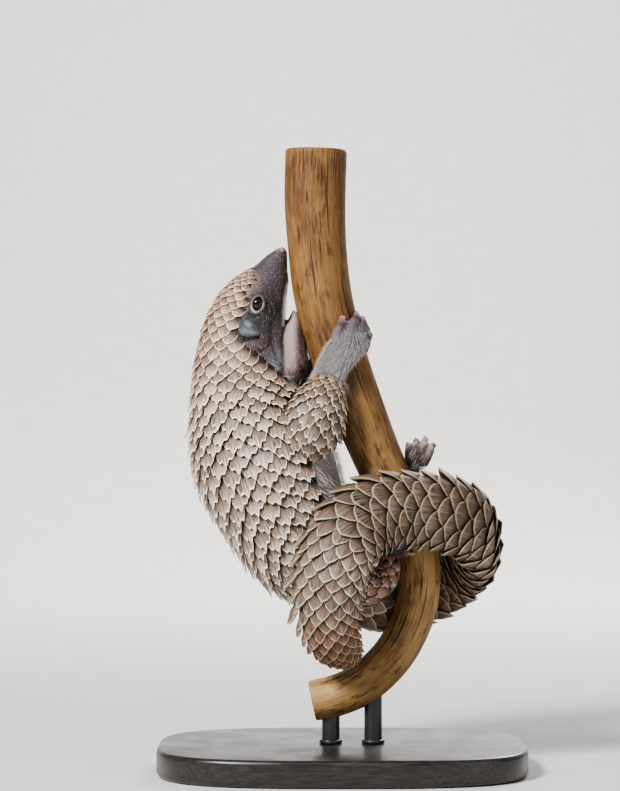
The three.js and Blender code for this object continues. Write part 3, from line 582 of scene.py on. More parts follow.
def on_face(points):
    s, a, gap, bare = face_or_belly(points)
    return (bare > 0.02) & (s < FACE_END) & (gap < 14) & (points[:, 0] < BARK_SIDE) & (points[:, 2] > CHIN)


def near_paw(points, reach):
    """True where points lie within reach of a palm, a sole or a digit."""
    near = np.zeros(len(points), bool)
    for palms, toes in paws.values():
        for path, thick in palms + [(path[:3], radius) for path, radius in toes]:
            for place in curve_at(path, np.linspace(0, 1, 9)):
                near |= ((points - place) ** 2).sum(1) < (np.max(thick) + reach) ** 2
    return near


for rule in (lambda p: on_face(p) | near_paw(p, 0.5), on_face, lambda p: lid_share(p) < 2.3):
    centres = read(skin.data.polygons, "center") / MM
    finish_faces(skin, rule(centres), "subdivide", number_cuts=1)
points = get_points(skin) / MM
group = skin.vertex_groups.new(name="fine")
group.add(np.flatnonzero(on_face(points) | near_paw(points, 1.0)).tolist(), 1.0, "REPLACE")
finish_modifier(skin, "SMOOTH", factor=0.5, iterations=5, vertex_group="fine")
skin.vertex_groups.clear()
print("skin faces:", len(skin.data.polygons))

# %% [markdown]
# ## Folds, lids and lips
# The face is shaped as in clay: each fold is a path on the side of the head and presses a
# groove into the skin, each pad swells it. The lids are drawn over the eyeball and end in
# a thick edge, and inside that edge the skin drops behind the ball, which leaves the
# opening. Both sides of the head read the same paths.

# %% Grooves and pads
GROOVES = {  # path of (x, z) on the side of the head, half width, depth
    "behind the ear": (
        [(-46.9, 203.8), (-47.3, 198.5), (-46.0, 195.0), (-42.7, 193.4), (-37.0, 194.4)], 0.7, 1.4),
    "cheek": ([(-45.2, 189.6), (-40.5, 187.4), (-35.6, 188.2), (-32.2, 191.6)], 0.8, 0.8),
    "jaw": ([(-31.4, 200.4), (-31.2, 194.0), (-30.0, 188.0), (-28.4, 183.6), (-25.8, 179.0)], 1.1, 0.8),
    "throat": ([(-26.0, 199.0), (-26.8, 194.0), (-26.2, 187.0), (-25.6, 178.0)], 0.9, 0.9),
    "neck": ([(-38.6, 187.0), (-34.6, 184.6), (-31.6, 181.0)], 0.8, 0.5),
    "under the eye": ([(-41.4, 205.0), (-38.6, 203.6), (-35.4, 204.4)], 0.5, 0.35),
    "nostril": ([(-28.0, 233.7), (-26.6, 232.5), (-25.2, 232.4)], 0.42, 1.0),
    "nose": ([(-30.6, 229.8), (-27.6, 229.2)], 0.5, 0.25),
}
PADS = [  # x, z, half sizes, height
    (-37.2, 191.0, 4.6, 2.6, 0.9), (-36.0, 215.4, 4.2, 1.6, 0.5), (-28.4, 194.6, 2.0, 5.0, 0.5),
    (-40.0, 205.4, 0.7, 0.6, 0.4), (-38.6, 204.8, 0.6, 0.5, 0.35), (-27.2, 234.2, 1.6, 1.1, 0.35),
]
LIP_EDGE = [(-23.6, 222.0), (-25.0, 217.0), (-25.9, 212.0), (-26.4, 206.0), (-26.7, 200.0)]


def path_distance(points, path):
    """Distance of flat points from a path of straight lengths."""
    best = np.full(len(points), np.inf)
    for start, end in zip(np.array(path)[:-1], np.array(path)[1:]):
        way = end - start
        t = np.clip((points - start) @ way / (way @ way), 0, 1)[:, None]
        best = np.minimum(best, np.linalg.norm(points - start - t * way, axis=1))
    return best


def slanted(x, z):
    """Height over a line that rises towards the branch as the lower jaw does."""
    return z - 1.1 * (x + 26)


points = get_points(skin) / MM
normals = read(skin.data.vertices, "normal")
flat = points[:, [0, 2]]
x, z = flat.T
lift = np.zeros(len(points))
for path, width, depth in GROOVES.values():
    lift -= depth * hill(path_distance(flat, path), width)
for pad_x, pad_z, wide, high, height in PADS:
    lift += height * spot(x, z, pad_x, pad_z, wide, high)
lip = path_distance(flat, LIP_EDGE)
in_front = smooth(-0.2, 0.5, x - np.interp(z, *np.transpose(LIP_EDGE[::-1])[::-1]))
mouth_height = smooth(198, 201, slanted(x, z)) * smooth(223, 220, z)
lift += mouth_height * (0.5 * hill(lip, 0.6) - 1.5 * in_front * smooth(4.5, 0.8, lip))
points += normals * (lift * on_face(points) * smooth(0.4, 1.6, np.abs(points[:, 1])))[:, None]
set_points(skin, points * MM)
print("deepest fold:", round(float(-lift.min()), 1), "mm")

# %% Lids
LID_THICKNESS = 0.55
BEHIND_THE_BALL = 1.2

share = lid_share(points)
off_axis = np.hypot(points[:, 0] - EYE_CENTRE[0], points[:, 2] - EYE_CENTRE[2])
depth = np.abs(points[:, 1])
over_ball = EYE_CENTRE[1] + np.sqrt(np.maximum((EYEBALL + LID_THICKNESS) ** 2 - off_axis**2, 0.5))
rim = 0.2 * hill(share - 1.1, 0.1) - 0.14 * hill(share - 1.6, 0.14) - 0.12 * hill(share - 2.0, 0.14)
lids = depth + smooth(2.2, 1.45, share) * np.maximum(over_ball - depth, 0) + rim * smooth(2.4, 1.6, share)
behind = EYE_CENTRE[1] + np.sqrt(np.maximum(EYEBALL**2 - off_axis**2, 0.5)) - BEHIND_THE_BALL
new_depth = behind + (lids - behind) * smooth(0.93, 1.04, share)
points[:, 1] = np.where(share < 2.4, np.sign(points[:, 1]) * new_depth, points[:, 1])
set_points(skin, points * MM)
shade_smooth(skin)
print("skin triangles:", triangles_of(skin))

# %% [markdown]
# ## The skin's colours
# The bare skin changes colour from place to place: a pink nose, a dark mask round the eye,
# pale lids, a pink throat, mauve fingers. These are painted as a colour at each point, in
# soft overlapping patches, and the hair takes its colour from them too. Some of the paint is
# light and shade: shade in the creases and the mouth's opening, highlights on the lids' edge.

# %% Painting the skin
points = get_points(skin) / MM
s, a, gap, bare = face_or_belly(points)
x, y, z = points.T
past_border = np.abs(a) - scaled_limit(s)
tint = np.tile(shade(84, 62, 48), (len(points), 1))


def paint(colour, amount):
    global tint
    tint = blend(tint, shade(*colour), np.clip(np.asarray(amount, float), 0, 1)[:, None])


under_edge = smooth(-0.34, -0.2, past_border) * smooth(66, 58, s) * (gap < 2)
on_trunk = np.maximum(bare, under_edge) * (gap < 14) * (x < 20)
head = on_trunk * smooth(70, 60, s) * (z > 172) * (x < -14.2)
paint((140, 120, 106), smooth(62, 54, s))
paint((172, 162, 158), on_trunk * smooth(66, 78, s))
paint((142, 118, 124), spot(x, z, 22.6, 89.0, 4.5, 9.0) * (y < -6))
paint((64, 57, 59), head)
paint((108, 80, 76), head * spot(x, z, -37.8, 220.0, 2.0, 6.6) * 0.8)
paint((67, 60, 65), head * smooth(22, 10, s) * smooth(-27.0, -31.0, x) * 0.9)
paint((132, 106, 98), head * hill(past_border + 0.02, 0.13) * smooth(10, 14, s) * 0.8)
paint((48, 45, 50), head * spot(x, z, -26.0, 223.0, 2.0, 6.0) * 0.7)
paint((150, 120, 117), head * smooth(3.6, 0.8, s))
for colour, place, strength in (
        ((39, 38, 38), (-32.4, 207.2, 6.0, 7.6), 1), ((40, 38, 40), (-41.0, 203.9, 4.6, 1.8), 0.9),
        ((104, 96, 98), (-28.0, 199.0, 1.8, 4.0), 0.7), ((82, 64, 64), (-38.0, 190.6, 6.0, 3.2), 1),
        ((62, 46, 48), (-33.0, 193.6, 2.6, 3.0), 0.8), ((126, 124, 130), (-29.0, 184.0, 3.6, 7.4), 1)):
    paint(colour, head * spot(x, z, *place) * strength)
print("painted patches on", len(tint), "points")

# %% Throat, lips and folds
throat = head * smooth(-26.8, -25.2, x) * smooth(204, 198, slanted(x, z))
paint((160, 140, 134), throat)
paint((94, 62, 60), throat * smooth(-22.2, -18.6, x) * smooth(203, 198, z))
paint((66, 44, 44), throat * smooth(182, 174, z))
paint((206, 198, 192), head * mouth_height * hill(lip, 0.5))
# The pressed-in opening in front of the lip is painted dark as the shade inside the mouth.
paint((50, 32, 34), head * mouth_height * in_front * smooth(0.4, 1.0, lip) * smooth(5.0, 3.0, lip))
# Each groove is painted darker along its path as painted shade in the crease; the nostril's line is reddish,
# partly its own colour and partly painted shade.
for name, (path, width, depth) in GROOVES.items():
    crease = (96, 34, 36) if name == "nostril" else (52, 42, 46)
    paint(crease, head * hill(path_distance(points[:, [0, 2]], path), width * 0.6) * min(depth, 0.9) * 0.75)
print("throat points:", np.count_nonzero(throat > 0.5))

# %% Lids and paws
share = lid_share(points)
lid_edge = smooth(0.92, 1.0, share) * smooth(1.5, 1.16, share)
# The lids' edge is pale, and at these two spots it is painted brighter as a highlight.
lit = spot(x, z, -40.0, 206.6, 2.4, 2.4) + spot(x, z, -35.2, 208.0, 2.0, 2.0)
paint((46, 42, 44), smooth(2.3, 1.5, share) * 0.6)
paint((104, 96, 94), lid_edge)
paint((186, 178, 172), lid_edge * lit)
paint((30, 24, 24), smooth(1.02, 0.94, share))
hands = near_paw(points, 3.4)
paint((104, 96, 101), hands)
paint((62, 47, 48), hands * smooth(124, 128, z) * smooth(165, 160, z))
for name, (palms, toes) in paws.items():
    bands, spread = ((0.4, (100, 82, 86)), (0.7, (62, 44, 48)), (1.0, (128, 100, 99))), 1.2
    if name == "foot_left":
        bands, spread = [(t, (158, 142, 136)) for t in (0.15, 0.3, 0.45, 0.6, 0.75, 0.9, 1.0)], 0.3
    for path, radius in toes:
        for t, colour in bands:
            reach = np.linalg.norm(points - curve_at(path[:3], np.array(t)), axis=1)
            paint(colour, smooth(radius + spread, radius + spread - 1.2, reach) * 0.85)
give(skin, "tint", tint, "FLOAT_COLOR")
print("paw points:", np.count_nonzero(hands))

# %% [markdown]
# ## A scale
# A pangolin's scale is a thin plate of horn, like a fingernail. On a young tree pangolin
# its free edge has a long middle point and a shorter one at each side, and a keel runs
# down the middle. One plate is modelled from a grid: the grid's far edge is drawn into the
# three points, the middle is raised, and a Solidify modifier gives the thickness.

# %% One scale
ACROSS = np.array([-1, -0.86, -0.6, -0.3, 0, 0.3, 0.6, 0.86, 1])
ALONG = np.array([0, 0.36, 0.66, 0.88, 1])
CUSPS = {  # how far the free edge reaches at each place across
    "body": np.array([-0.85, -0.44, -0.02, -0.10, 0.46, -0.10, -0.02, -0.44, -0.85]),
    "tail": np.array([-0.75, -0.45, -0.12, 0.10, 0.30, 0.10, -0.12, -0.45, -0.75]),
    "head": np.array([-0.80, -0.44, -0.14, 0.04, 0.22, 0.04, -0.14, -0.44, -0.80]),
}


def make_scale(name, cusps):
    """A plate as points: across it, along it in rings, and height. Its far edge has cusps."""
    columns, rows = len(ACROSS) - 1, len(ALONG) - 1
    plate = primitive("grid", name, x_subdivisions=columns, y_subdivisions=rows, size=2)
    points = get_points(plate)
    column = np.round((points[:, 0] + 1) / 2 * columns).astype(int)
    row = np.round((points[:, 1] + 1) / 2 * rows).astype(int)
    u, v, cusp = ACROSS[column], ALONG[row], cusps[column]
    width = 0.62 + 0.46 * smooth(0, 0.5, v) - 0.08 * smooth(0.7, 1, v)
    reach = -0.7 + 2.5 * v + cusp * smooth(0.3, 1, v)
    crown = 0.3 * (1 - u**2) * smooth(0, 0.5, v) + 0.15 * (u == 0) * smooth(0.2, 0.7, v)
    for layer, values in (("u", u), ("v", v)):
        give(plate, layer, values)
    set_points(plate, np.stack([u * width, reach, crown - 0.06 * v], 1))
    finish_modifier(plate, "SOLIDIFY", thickness=0.17, offset=-1)
    own_map = [read(plate.data.attributes[layer].data, "value", 1) for layer in ("u", "v")]
    pattern = {"points": get_points(plate), "faces": faces_of(plate), "map": np.hstack(own_map)}
    bpy.data.objects.remove(plate)
    return pattern


patterns = {name: make_scale(name + "_scale", cusps) for name, cusps in CUSPS.items()}
print("a scale has", len(patterns["body"]["faces"]), "faces")

# %% [markdown]
# ## Laying the scales
# The scales lie in rings round the body, each ring shifted by half a scale, so that every
# point covers the joint between two scales below it. The rings stand closer where the body
# is thin. A scale is copied by reading its pattern as a small map: across the scale is an
# angle round the body, along it is a length down the spine, and its height is a lift off
# the skin. So each copy bends with the body that it lies on.

# %% Copies as one mesh
SEED = 7
rng = np.random.default_rng(SEED)


def copies(name, points, faces, tone, home, patch):
    """One mesh of many copies. `home` is where each one's colours are baked, `patch` its size there."""
    count, size = points.shape[:2]
    all_faces = (faces[None] + (np.arange(count) * size)[:, None, None]).reshape(-1, faces.shape[1])
    mesh = bpy.data.meshes.new(name)
    mesh.from_pydata((points * MM).reshape(-1, 3), [], all_faces.tolist())
    mesh.update()
    piece = bpy.data.objects.new(name, mesh)
    bpy.context.scene.collection.objects.link(piece)
    corners = all_faces.ravel()
    give_map(piece, "OFBake", home[corners // size] + patch[corners % size])
    give(piece, "tone", np.repeat(tone, size))
    return piece, corners


def body_home(s, a):
    """A place on the body's unwrap, the spine running up the map."""
    return np.stack([0.25 + 0.24 * a / math.pi, 0.02 + 0.96 * s / spine.length], 1)


def limb_home(number, line):
    """The same for a limb, each in a strip of its own beside the body."""
    return lambda s, a: np.stack([0.56 + 0.1 * number + 0.04 * a / math.pi, 0.05 + 0.4 * s / line.length], 1)


print("seed:", SEED)

# %% Scale rows
SCALE_PATCH = 0.006


def ring_places(line, start, end, columns, ratio):
    """Ring lengths from start to end, a ring being `ratio` of a scale's width apart."""
    places = [start]
    while places[-1] < end:
        sizes = line.frame(np.array(places[-1]))[4]
        round_it = math.pi * ((sizes[0] + sizes[1]) / 2 + sizes[2])
        places.append(places[-1] + max(ratio * round_it / columns, 0.8))
    return np.array(places)


def chosen_places(places, columns, height, overhang, keep):
    """Ring number, angle, height and overhang of every scale that is kept."""
    chosen = []
    for i, s in enumerate(places[1:-1]):
        for j in range(columns):
            a = (2 * j + (i & 1)) * (math.pi / columns)
            a = math.atan2(math.sin(a), math.cos(a))
            if height(s, a) > 0 and keep(s, a):
                chosen.append((i, a, height(s, a), overhang(s, a)))
    return np.array(chosen)


def lay_scales(name, line, places, columns, height, home, overhang=lambda s, a: 0.1,
               keep=lambda s, a: True, kind="body", even=0.0, grows_in=None, bare_start=False):
    """A mesh of scales on a spine, `height` and `overhang` being rules of length and angle.

    `even` widens the scales at the sides of a flat body. `grows_in` is the length over
    which the pattern changes from the head's to its own. `bare_start` leaves the first
    ring without the painted shade at the roots, because no scale covers them."""
    pattern = patterns[kind]
    half = math.pi / columns
    chosen = chosen_places(places, columns, height, overhang, keep)
    first_place = places[chosen[:, 0].astype(int)]
    draws = rng.uniform(-1, 1, (len(chosen), 7))
    i, a, full, extra = (chosen[:, k, None] for k in range(4))
    shape = np.repeat(pattern["points"][None], len(chosen), 0)
    if grows_in:
        early = smooth(*grows_in[::-1], first_place)[:, None, None]
        shape = shape + early * (patterns["head"]["points"] - shape)
    across, along, high = (shape[..., k] for k in range(3))
    far = smooth(0.9, 1.9, along)
    turn = 0.10 * draws[:, :1]
    along = along + far * (0.16 * draws[:, 4:5] + 0.22 * across * draws[:, 5:6])
    p = (along * np.cos(turn) + across * np.sin(turn)) * (1 + 0.05 * draws[:, 1:2])
    narrow = 1 - 0.6 * far * smooth(0.3, 0.9, extra)
    q = (across * np.cos(turn) - along * np.sin(turn) * 0.5) * (1 + 0.05 * draws[:, 2:3]) * narrow
    ring = i + p + extra * far
    s = np.interp(ring, np.arange(len(places)), places)
    s = s + (ring - (len(places) - 1)).clip(0) * (places[-1] - places[-2])
    s = s + ring.clip(None, 0) * (places[1] - places[0])
    tall = full * (1 + 0.16 * draws[:, 3:4])
    lift = -0.35 + tall * (0.44 * p + high * 1.2 + 0.10 * far * (1 + draws[:, 6:7]))
    angle = a + q * half
    points = line.point(s, angle + even * np.sin(2 * angle), lift)
    patch = (pattern["map"] * (0.5, 1) - (0, 0.5)) * SCALE_PATCH
    tone = rng.uniform(0, 1, len(chosen))
    piece, corners = copies(name, points, pattern["faces"], tone, home(first_place, chosen[:, 1]), patch)
    inside = pattern["map"][corners % len(patch)]
    if bare_start:
        exposed = chosen[corners // len(patch), 0] < 1
        inside = np.where(exposed[:, None], inside * (1, 0.45) + (0, 0.55), inside)
    give_map(piece, "ScaleMap", inside)
    return shade_smooth(piece, 40)


print("a patch in the bake is", SCALE_PATCH, "long")

# %% The trunk's scales
def trunk_height(s, a):
    grown = smooth(station["muzzle"], station["bridge"], s)
    full = 0.3 + 0.7 * smooth(station["ears"], station["shoulders"], s)
    return 2.6 * float(grown * full)


trunk_rings = ring_places(spine, station["muzzle"] + 2, station["rump"] + 2, 18, 0.47)
scales_body = lay_scales(
    "scales_body", spine, trunk_rings, 18, trunk_height, body_home,
    keep=lambda s, a: abs(a) < scaled_limit(s) - 0.05, grows_in=(station["ears"], station["shoulders"]))
print("trunk rings:", len(trunk_rings), "faces:", len(scales_body.data.polygons))

# %% [markdown]
# ## The tail's scales
# The tail is flat, with a row of thick pointed scales along each edge and broad ones
# between. Near the body and at the tip the scales are smaller and stand in more columns.

# %% Tail scales
TAIL_LENGTHS = ((186, 10, 0.56), (334, 6, 0.31), (spine.length, 10, 0.56))  # end, columns, ratio


def on_tail_edge(a):
    return abs(abs(math.degrees(a)) - 90) < 10


def tail_height(s, a):
    taper = 0.35 + 0.65 * float(smooth(spine.length, spine.length - 30, s))
    outer = 4.3 if 326 < s < 376 else 3.4
    return ((outer if a < 0 else 2.4) if on_tail_edge(a) else 2.2) * taper


def tail_overhang(s, a):
    return 0.1 + (0.55 if a < 0 or s > 372 else 0.25) * on_tail_edge(a)


tail_pieces = []
start = station["rump"] - 2
for end, columns, ratio in TAIL_LENGTHS:
    rings = ring_places(spine, start, end, columns, ratio)
    tail_pieces.append(lay_scales(
        "scales_tail", spine, rings, columns, tail_height, body_home, tail_overhang, kind="tail", even=-0.06))
    start = rings[-2]
scales_tail = shade_smooth(joined("scales_tail", tail_pieces), 40)
print("tail faces:", len(scales_tail.data.polygons))

# %% [markdown]
# ## The limbs' scales
# Arms and legs carry smaller scales on their outer side, which end at the bare wrist.

# %% Limb scales
def on_limb(name, line, rooted):
    """A rule that keeps the scales on the limb's outer side and out of the body."""
    def keep(s, a):
        bare_strip = name == "hindleg_right" and s < 17 and a > math.radians(40)
        return abs(a) < math.radians(118) and s < line.length * rooted and not bare_strip
    return keep


limb_pieces = []
for number, (name, line) in enumerate(limbs.items()):
    columns, rooted, ratio = (10, 0.97, 0.5) if "fore" in name else (7, 0.75, 0.62)
    rings = ring_places(line, 0.0, line.length * 0.97, columns, ratio)
    limb_pieces.append(lay_scales(
        "scales_" + name, line, rings, columns, lambda s, a: 0.3 + 1.5 * float(smooth(0, 9, s)),
        limb_home(number, line), keep=on_limb(name, line, rooted), bare_start=True))
print("limb scales:", [len(p.data.polygons) for p in limb_pieces])

# %% [markdown]
# ## Eyes
# The eye is a dark, wet ball, deep enough in the head that the lids hold it. The clear
# front of a real eye bulges a little, so the ball is drawn out there, which also gives the
# highlight its crisp edge.

# %% Eyes
SIDES = {"right": -1, "left": 1}

eyes = {}
for name, side in SIDES.items():
    eye = primitive("uv_sphere", f"eye_{name}_ball", segments=64, ring_count=48, radius=EYEBALL * MM)
    points = get_points(eye) / MM
    points[:, 1] += side * 0.35 * smooth(0.72, 0.95, points[:, 1] * side / EYEBALL)
    set_points(eye, (points + EYE_CENTRE * (1, side, 1)) * MM)
    eyes["eye_" + name] = shade_smooth(eye)
print("eyes:", list(eyes))

# %% [markdown]
# ## Ears
# A tree pangolin's ear is a low, thick flap of bare skin that closes over the opening. It
# is a flattened ball with a hollow pressed into its outer side, leaving a rolled rim.

# %% Ears
EAR_CENTRE = (-41.2, 198.8)
EAR_SIZE = (6.6, 4.5)
EAR_LEAN = -0.26


def ear_relief(x, y, z):
    """How far a point of the unit ball lies off the cheek: hollow, pad and folds outside."""
    out = np.hypot(x, z)
    free = smooth(-0.5, 0.5, -0.45 * x - 0.9 * z)
    hollow = 0.35 * spot(x, z, -0.35, 0.1, 0.3, 0.5)
    pad = 0.45 * spot(x, z, 0.05, -0.45, 0.6, 0.35)
    fold = 0.1 * np.sin(9 * x + 5 * z + 2 * np.sin(5 * z)) * hill(out, 0.9)
    return 0.1 + (1.9 * free - 1.2) * out**2.5 + 0.62 * y + (pad - hollow + fold) * (y > 0)


# The two pale blue-grey spots, one beside the hollow and one on the pad, are painted highlights. Towards the
# top the ear is painted darker, where it meets the face.
def ear_tint(x, z):
    pale = spot(x, z, -0.15, 0.25, 0.24, 0.3) + spot(x, z, 0.1, -0.45, 0.55, 0.24)
    colour = blend(shade(72, 69, 71), shade(112, 121, 125), np.clip(pale, 0, 1)[:, None])
    return blend(colour, shade(44, 41, 43), smooth(0.2, 0.9, 0.45 * x + 0.8 * z)[:, None])


ears = {}
cheeks = get_points(skin) / MM
cheeks = cheeks[(cheeks[:, 2] > 185) & (cheeks[:, 2] < 212) & (cheeks[:, 0] < -28)]
for name, side in SIDES.items():
    cheek = cheeks[cheeks[:, 1] * side > 6]
    flap, _, _ = ball(f"ear_{name}_flap", 72, 48)
    x, z, y = get_points(flap).T
    wide, high = x * EAR_SIZE[0], z * EAR_SIZE[1] * (1 - 0.3 * x)
    flat = np.stack([wide * math.cos(EAR_LEAN) - high * math.sin(EAR_LEAN),
                     wide * math.sin(EAR_LEAN) + high * math.cos(EAR_LEAN)], 1) + EAR_CENTRE
    nearest = [((cheek[:, [0, 2]] - place) ** 2).sum(1).argmin() for place in flat]
    out = np.abs(cheek[nearest, 1]) + ear_relief(x, y, z)
    set_points(flap, np.stack([flat[:, 0], side * out, flat[:, 1]], 1) * MM)
    finish_modifier(flap, "SMOOTH", factor=0.5, iterations=3)
    finish_faces(flap, [True] * len(flap.data.polygons), "normals_make_consistent", inside=False)
    give(flap, "tint", ear_tint(x, z), "FLOAT_COLOR")
    ears["ear_" + name] = shade_smooth(flap)
print("ears:", list(ears))

# %% [markdown]
# ## Claws
# Each digit ends in a curved claw of horn, which hooks into the bark. It is a rod that
# thins to a point, with its root inside the fingertip. The left foot's toes stand off the
# bark, so only the blunt tips of their claws show.

# %% Claws
claw_pieces = []
for name, (_, toes) in paws.items():
    grip, reach, tip_size = (0.3, 0.05, 0.6) if name == "foot_left" else (0.12, 0.5, 0.16)
    for path, radius in toes:
        end, tip = np.array(path[2]), np.array(path[3])
        way = tip - end
        inward = unit(on_branch(tip[2], 0, 0) * (1, 0, 1) - tip) * np.linalg.norm(way)
        hook = [end - 0.3 * way, end + 0.45 * way - 0.12 * inward, tip, tip + reach * way + grip * inward]
        sizes = [radius * 0.6, radius * 0.62, radius * 0.42, tip_size]
        claw_pieces.append(rod("claw", hook, sizes, 12, 16, 0.75))
claws = shade_smooth(joined("claws", claw_pieces))
print("claw faces:", len(claws.data.polygons))

# %% [markdown]
# ## Hair
# Where there are no scales the pangolin has sparse, soft, pale hair: short and flat on the
# face and the hands, longer and tangled on the belly. Hair that lies flat is left to the
# skin's bump. The rest is made of small tufts, each a thin curved lock that is closed all
# round. One lock is modelled, and copies are rooted on the skin's own faces, from which
# they also take their colour.

# %% One tuft
TUFT_PATCH = (0.0012, 0.003)

tuft, tuft_share, tuft_angle = ball("tuft_pattern", 3, 4)
finish_modifier(tuft, "TRIANGULATE")
tuft_faces = faces_of(tuft)
bpy.data.objects.remove(tuft)
skin_centres = read(skin.data.polygons, "center") / MM
skin_normals = read(skin.data.polygons, "normal")
skin_areas = read(skin.data.polygons, "area", 1)[:, 0] / MM**2
first_corner = np.array([p.vertices[0] for p in skin.data.polygons])


def lay_tufts(name, chance, per_area, length, width, lie, rise, home, pale, unruly=0.32):
    """Tufts rooted where `chance` says, lying along `lie`, as steep at root and tip as `rise`."""
    wanted = rng.random(len(skin_centres)) < np.clip(chance, 0, 1) * per_area * skin_areas
    k = np.flatnonzero(wanted)
    draws = rng.uniform(-1, 1, (len(k), 6))
    root = skin_centres[k] + 0.25 * draws[:, 3:6]
    normal = skin_normals[k]
    way = np.broadcast_to(lie, skin_centres.shape)[k] + unruly * draws[:, 3:6]
    way = unit(way - normal * (way * normal).sum(-1, keepdims=True))
    long = np.broadcast_to(length, len(skin_centres))[k] * (1 + 0.3 * draws[:, 0])
    steep = (rise[0] + (rise[1] - rise[0]) * np.linspace(0, 1, 21))[None] + 0.2 * draws[:, 1:2]
    forward, up = np.cumsum(np.cos(steep), 1) / 21, np.cumsum(np.sin(steep), 1) / 21
    step = np.round(tuft_share * 20).astype(int)
    bend = way[:, None] * forward[:, step, None] + normal[:, None] * up[:, step, None]
    centre = root[:, None] - 0.3 * normal[:, None] + long[:, None, None] * bend
    thick = width * (1 - tuft_share) ** 0.6 * (tuft_share > 0.01)
    sideways = np.cross(normal, way)[:, None] * (np.cos(tuft_angle) * thick)[None, :, None]
    points = centre + sideways + normal[:, None] * (0.6 * np.sin(tuft_angle) * thick)[None, :, None]
    patch = np.stack([np.cos(tuft_angle), tuft_share - 0.5], 1) * TUFT_PATCH
    piece, _ = copies(name, points, tuft_faces, rng.uniform(0, 1, len(k)), home(root), patch)
    colour = blend(tint[first_corner[k]], shade(232, 228, 224), pale)
    give(piece, "tint", np.repeat(colour, len(tuft_share), 0), "FLOAT_COLOR")
    return shade_smooth(piece)


def trunk_home(roots):
    return body_home(*beside(spine, roots, station["rump"])[:2])


def paw_home(roots):
    """Strips for the feet and hands of each side, above those of the limbs."""
    x, y, z = roots.T
    strip = 0.56 + 0.1 * (z > 150) + 0.2 * (y > 0)
    return np.stack([strip + 0.04 * np.arctan2(y, x) / math.pi, 0.5 + 0.4 * (z - 80) / 130], 1)


print("a tuft has", len(tuft_faces), "faces")

# %% Tufts on the belly
s, a, gap, bare = face_or_belly(skin_centres)
along = spine.frame(s)[1]
on_belly = bare * smooth(66, 80, s) * smooth(-0.6, 0.3, 1.5 - gap)
edge_of_scales = hill(np.abs(a) - scaled_limit(s) - 0.06, 0.10) * smooth(60, 72, s) * (gap < 2)
fur_belly = lay_tufts("fur_belly", np.maximum(on_belly, edge_of_scales * 0.8), 1.7, 5.0, 0.15,
                      along + (0.3, 0, 0), (0.95, 0.2), trunk_home, 0.6)
print("belly tuft faces:", len(fur_belly.data.polygons))

# %% Tufts on the face and the paws
face = on_face(skin_centres) * bare * (lid_share(skin_centres) > 1.4)
fur_face = lay_tufts("fur_face", face * smooth(2, 7, s), 1.7, 1.1 + 1.2 * smooth(30, 60, s), 0.075,
                     along, (0.5, 0.12), trunk_home, 0.26)
height = skin_centres[:, 2]
by_mouth = hill(path_distance(skin_centres[:, [0, 2]], LIP_EDGE), 0.7)
fur_lip = lay_tufts("fur_lip", face * by_mouth * smooth(199, 202, height) * smooth(217, 211, height), 3.2,
                    2.1, 0.075, (0.5, 0.0, -0.9), (1.0, 0.5), trunk_home, 0.85)
to_fingers = np.full(len(skin_centres), np.inf)
for _, toes in paws.values():
    for path, _ in toes:
        for place in curve_at(path[:3], np.linspace(0.25, 1, 7)):
            to_fingers = np.minimum(to_fingers, np.linalg.norm(skin_centres - place, axis=1))
at_wrist = smooth(183, 176, height) * (height > 160)
fur_paws = lay_tufts("fur_paws", near_paw(skin_centres, 3.0) * smooth(1.7, 6.0, to_fingers), 3.2,
                     3.2 + 1.6 * at_wrist, 0.085, (-0.55, 0.0, -1.0), (0.65, 0.2), paw_home, 0.6, 0.18)
print("tuft faces:", [len(p.data.polygons) for p in (fur_face, fur_lip, fur_paws)])

# %% [markdown]
# ## Branch and stand
# The perch is a cut length of smooth, weathered wood. It is a ball drawn over the branch's
# line like the trunk, but with its first and last rings laid flat as saw cuts. The wood's
# pattern needs to follow the bend, so each point also carries its place in the branch as
# it would be if it were straight.

# %% Branch
CUT_SHARE = 0.04
WAVES = ((2, 0.03, 0.12), (3, -0.05, 0.09), (5, 0.02, 0.05))  # lobes, twist, height
KNOTS = ((26, 2.6), (118, -0.4), (196, 2.2))  # length along the branch, angle round it

branch_line = Spine([(c, (0, -1, 0), (r, r, r)) for c, r in zip(branch_centres, branch_radii)])
branch, share, angle = ball("branch", 72, 300)
inner = np.clip((share - CUT_SHARE) / (1 - 2 * CUT_SHARE), 0, 1)
shrink = np.clip(np.minimum(share, 1 - share) / CUT_SHARE, 0, 1)
s = inner * branch_line.length
centre, along, up, right, sizes = branch_line.frame(s)
radius = sizes[:, 0]
waves = sum(np.sin(lobes * angle + s * twist + lobes) * height for lobes, twist, height in WAVES)
knots = sum(0.9 * spot(s, (angle - turn) * radius, at, 0, 5, 4) for at, turn in KNOTS)
rounded = 0.5 * smooth(0.94, 1, shrink) * (shrink < 1)
full = (radius + np.clip(waves + knots, -0.3, 1)) * shrink - rounded
points = centre + (up * np.cos(angle)[:, None] + right * np.sin(angle)[:, None]) * full[:, None]
set_points(branch, points * MM)
give(branch, "wood", np.stack([np.cos(angle) * full, np.sin(angle) * full, s], 1), "FLOAT_VECTOR")
give(branch, "cut", shrink < 0.985)
shade_smooth(branch, 35)
print("branch:", round(branch_line.length), "mm")

# %% [markdown]
# ## The stand
# The base is a turned and lacquered plate with a soft edge, and two short rods hold the
# branch. The plate starts as a cylinder, is drawn out to a rounded rectangle, and its edges
# are bevelled. Each rod has a small collar where it meets the base.

# %% Base and rods
BASE_HALF = (83.0, 59.0)
BASE_HEIGHT = 12.0
BASE_SQUARENESS = 0.62  # 1 gives an ellipse, less gives squarer corners
ROD_PLACES = (-5.0, 14.0)
ROD_RADIUS = 4.0
ROD_END = 5  # how far under the branch's centre line a rod ends


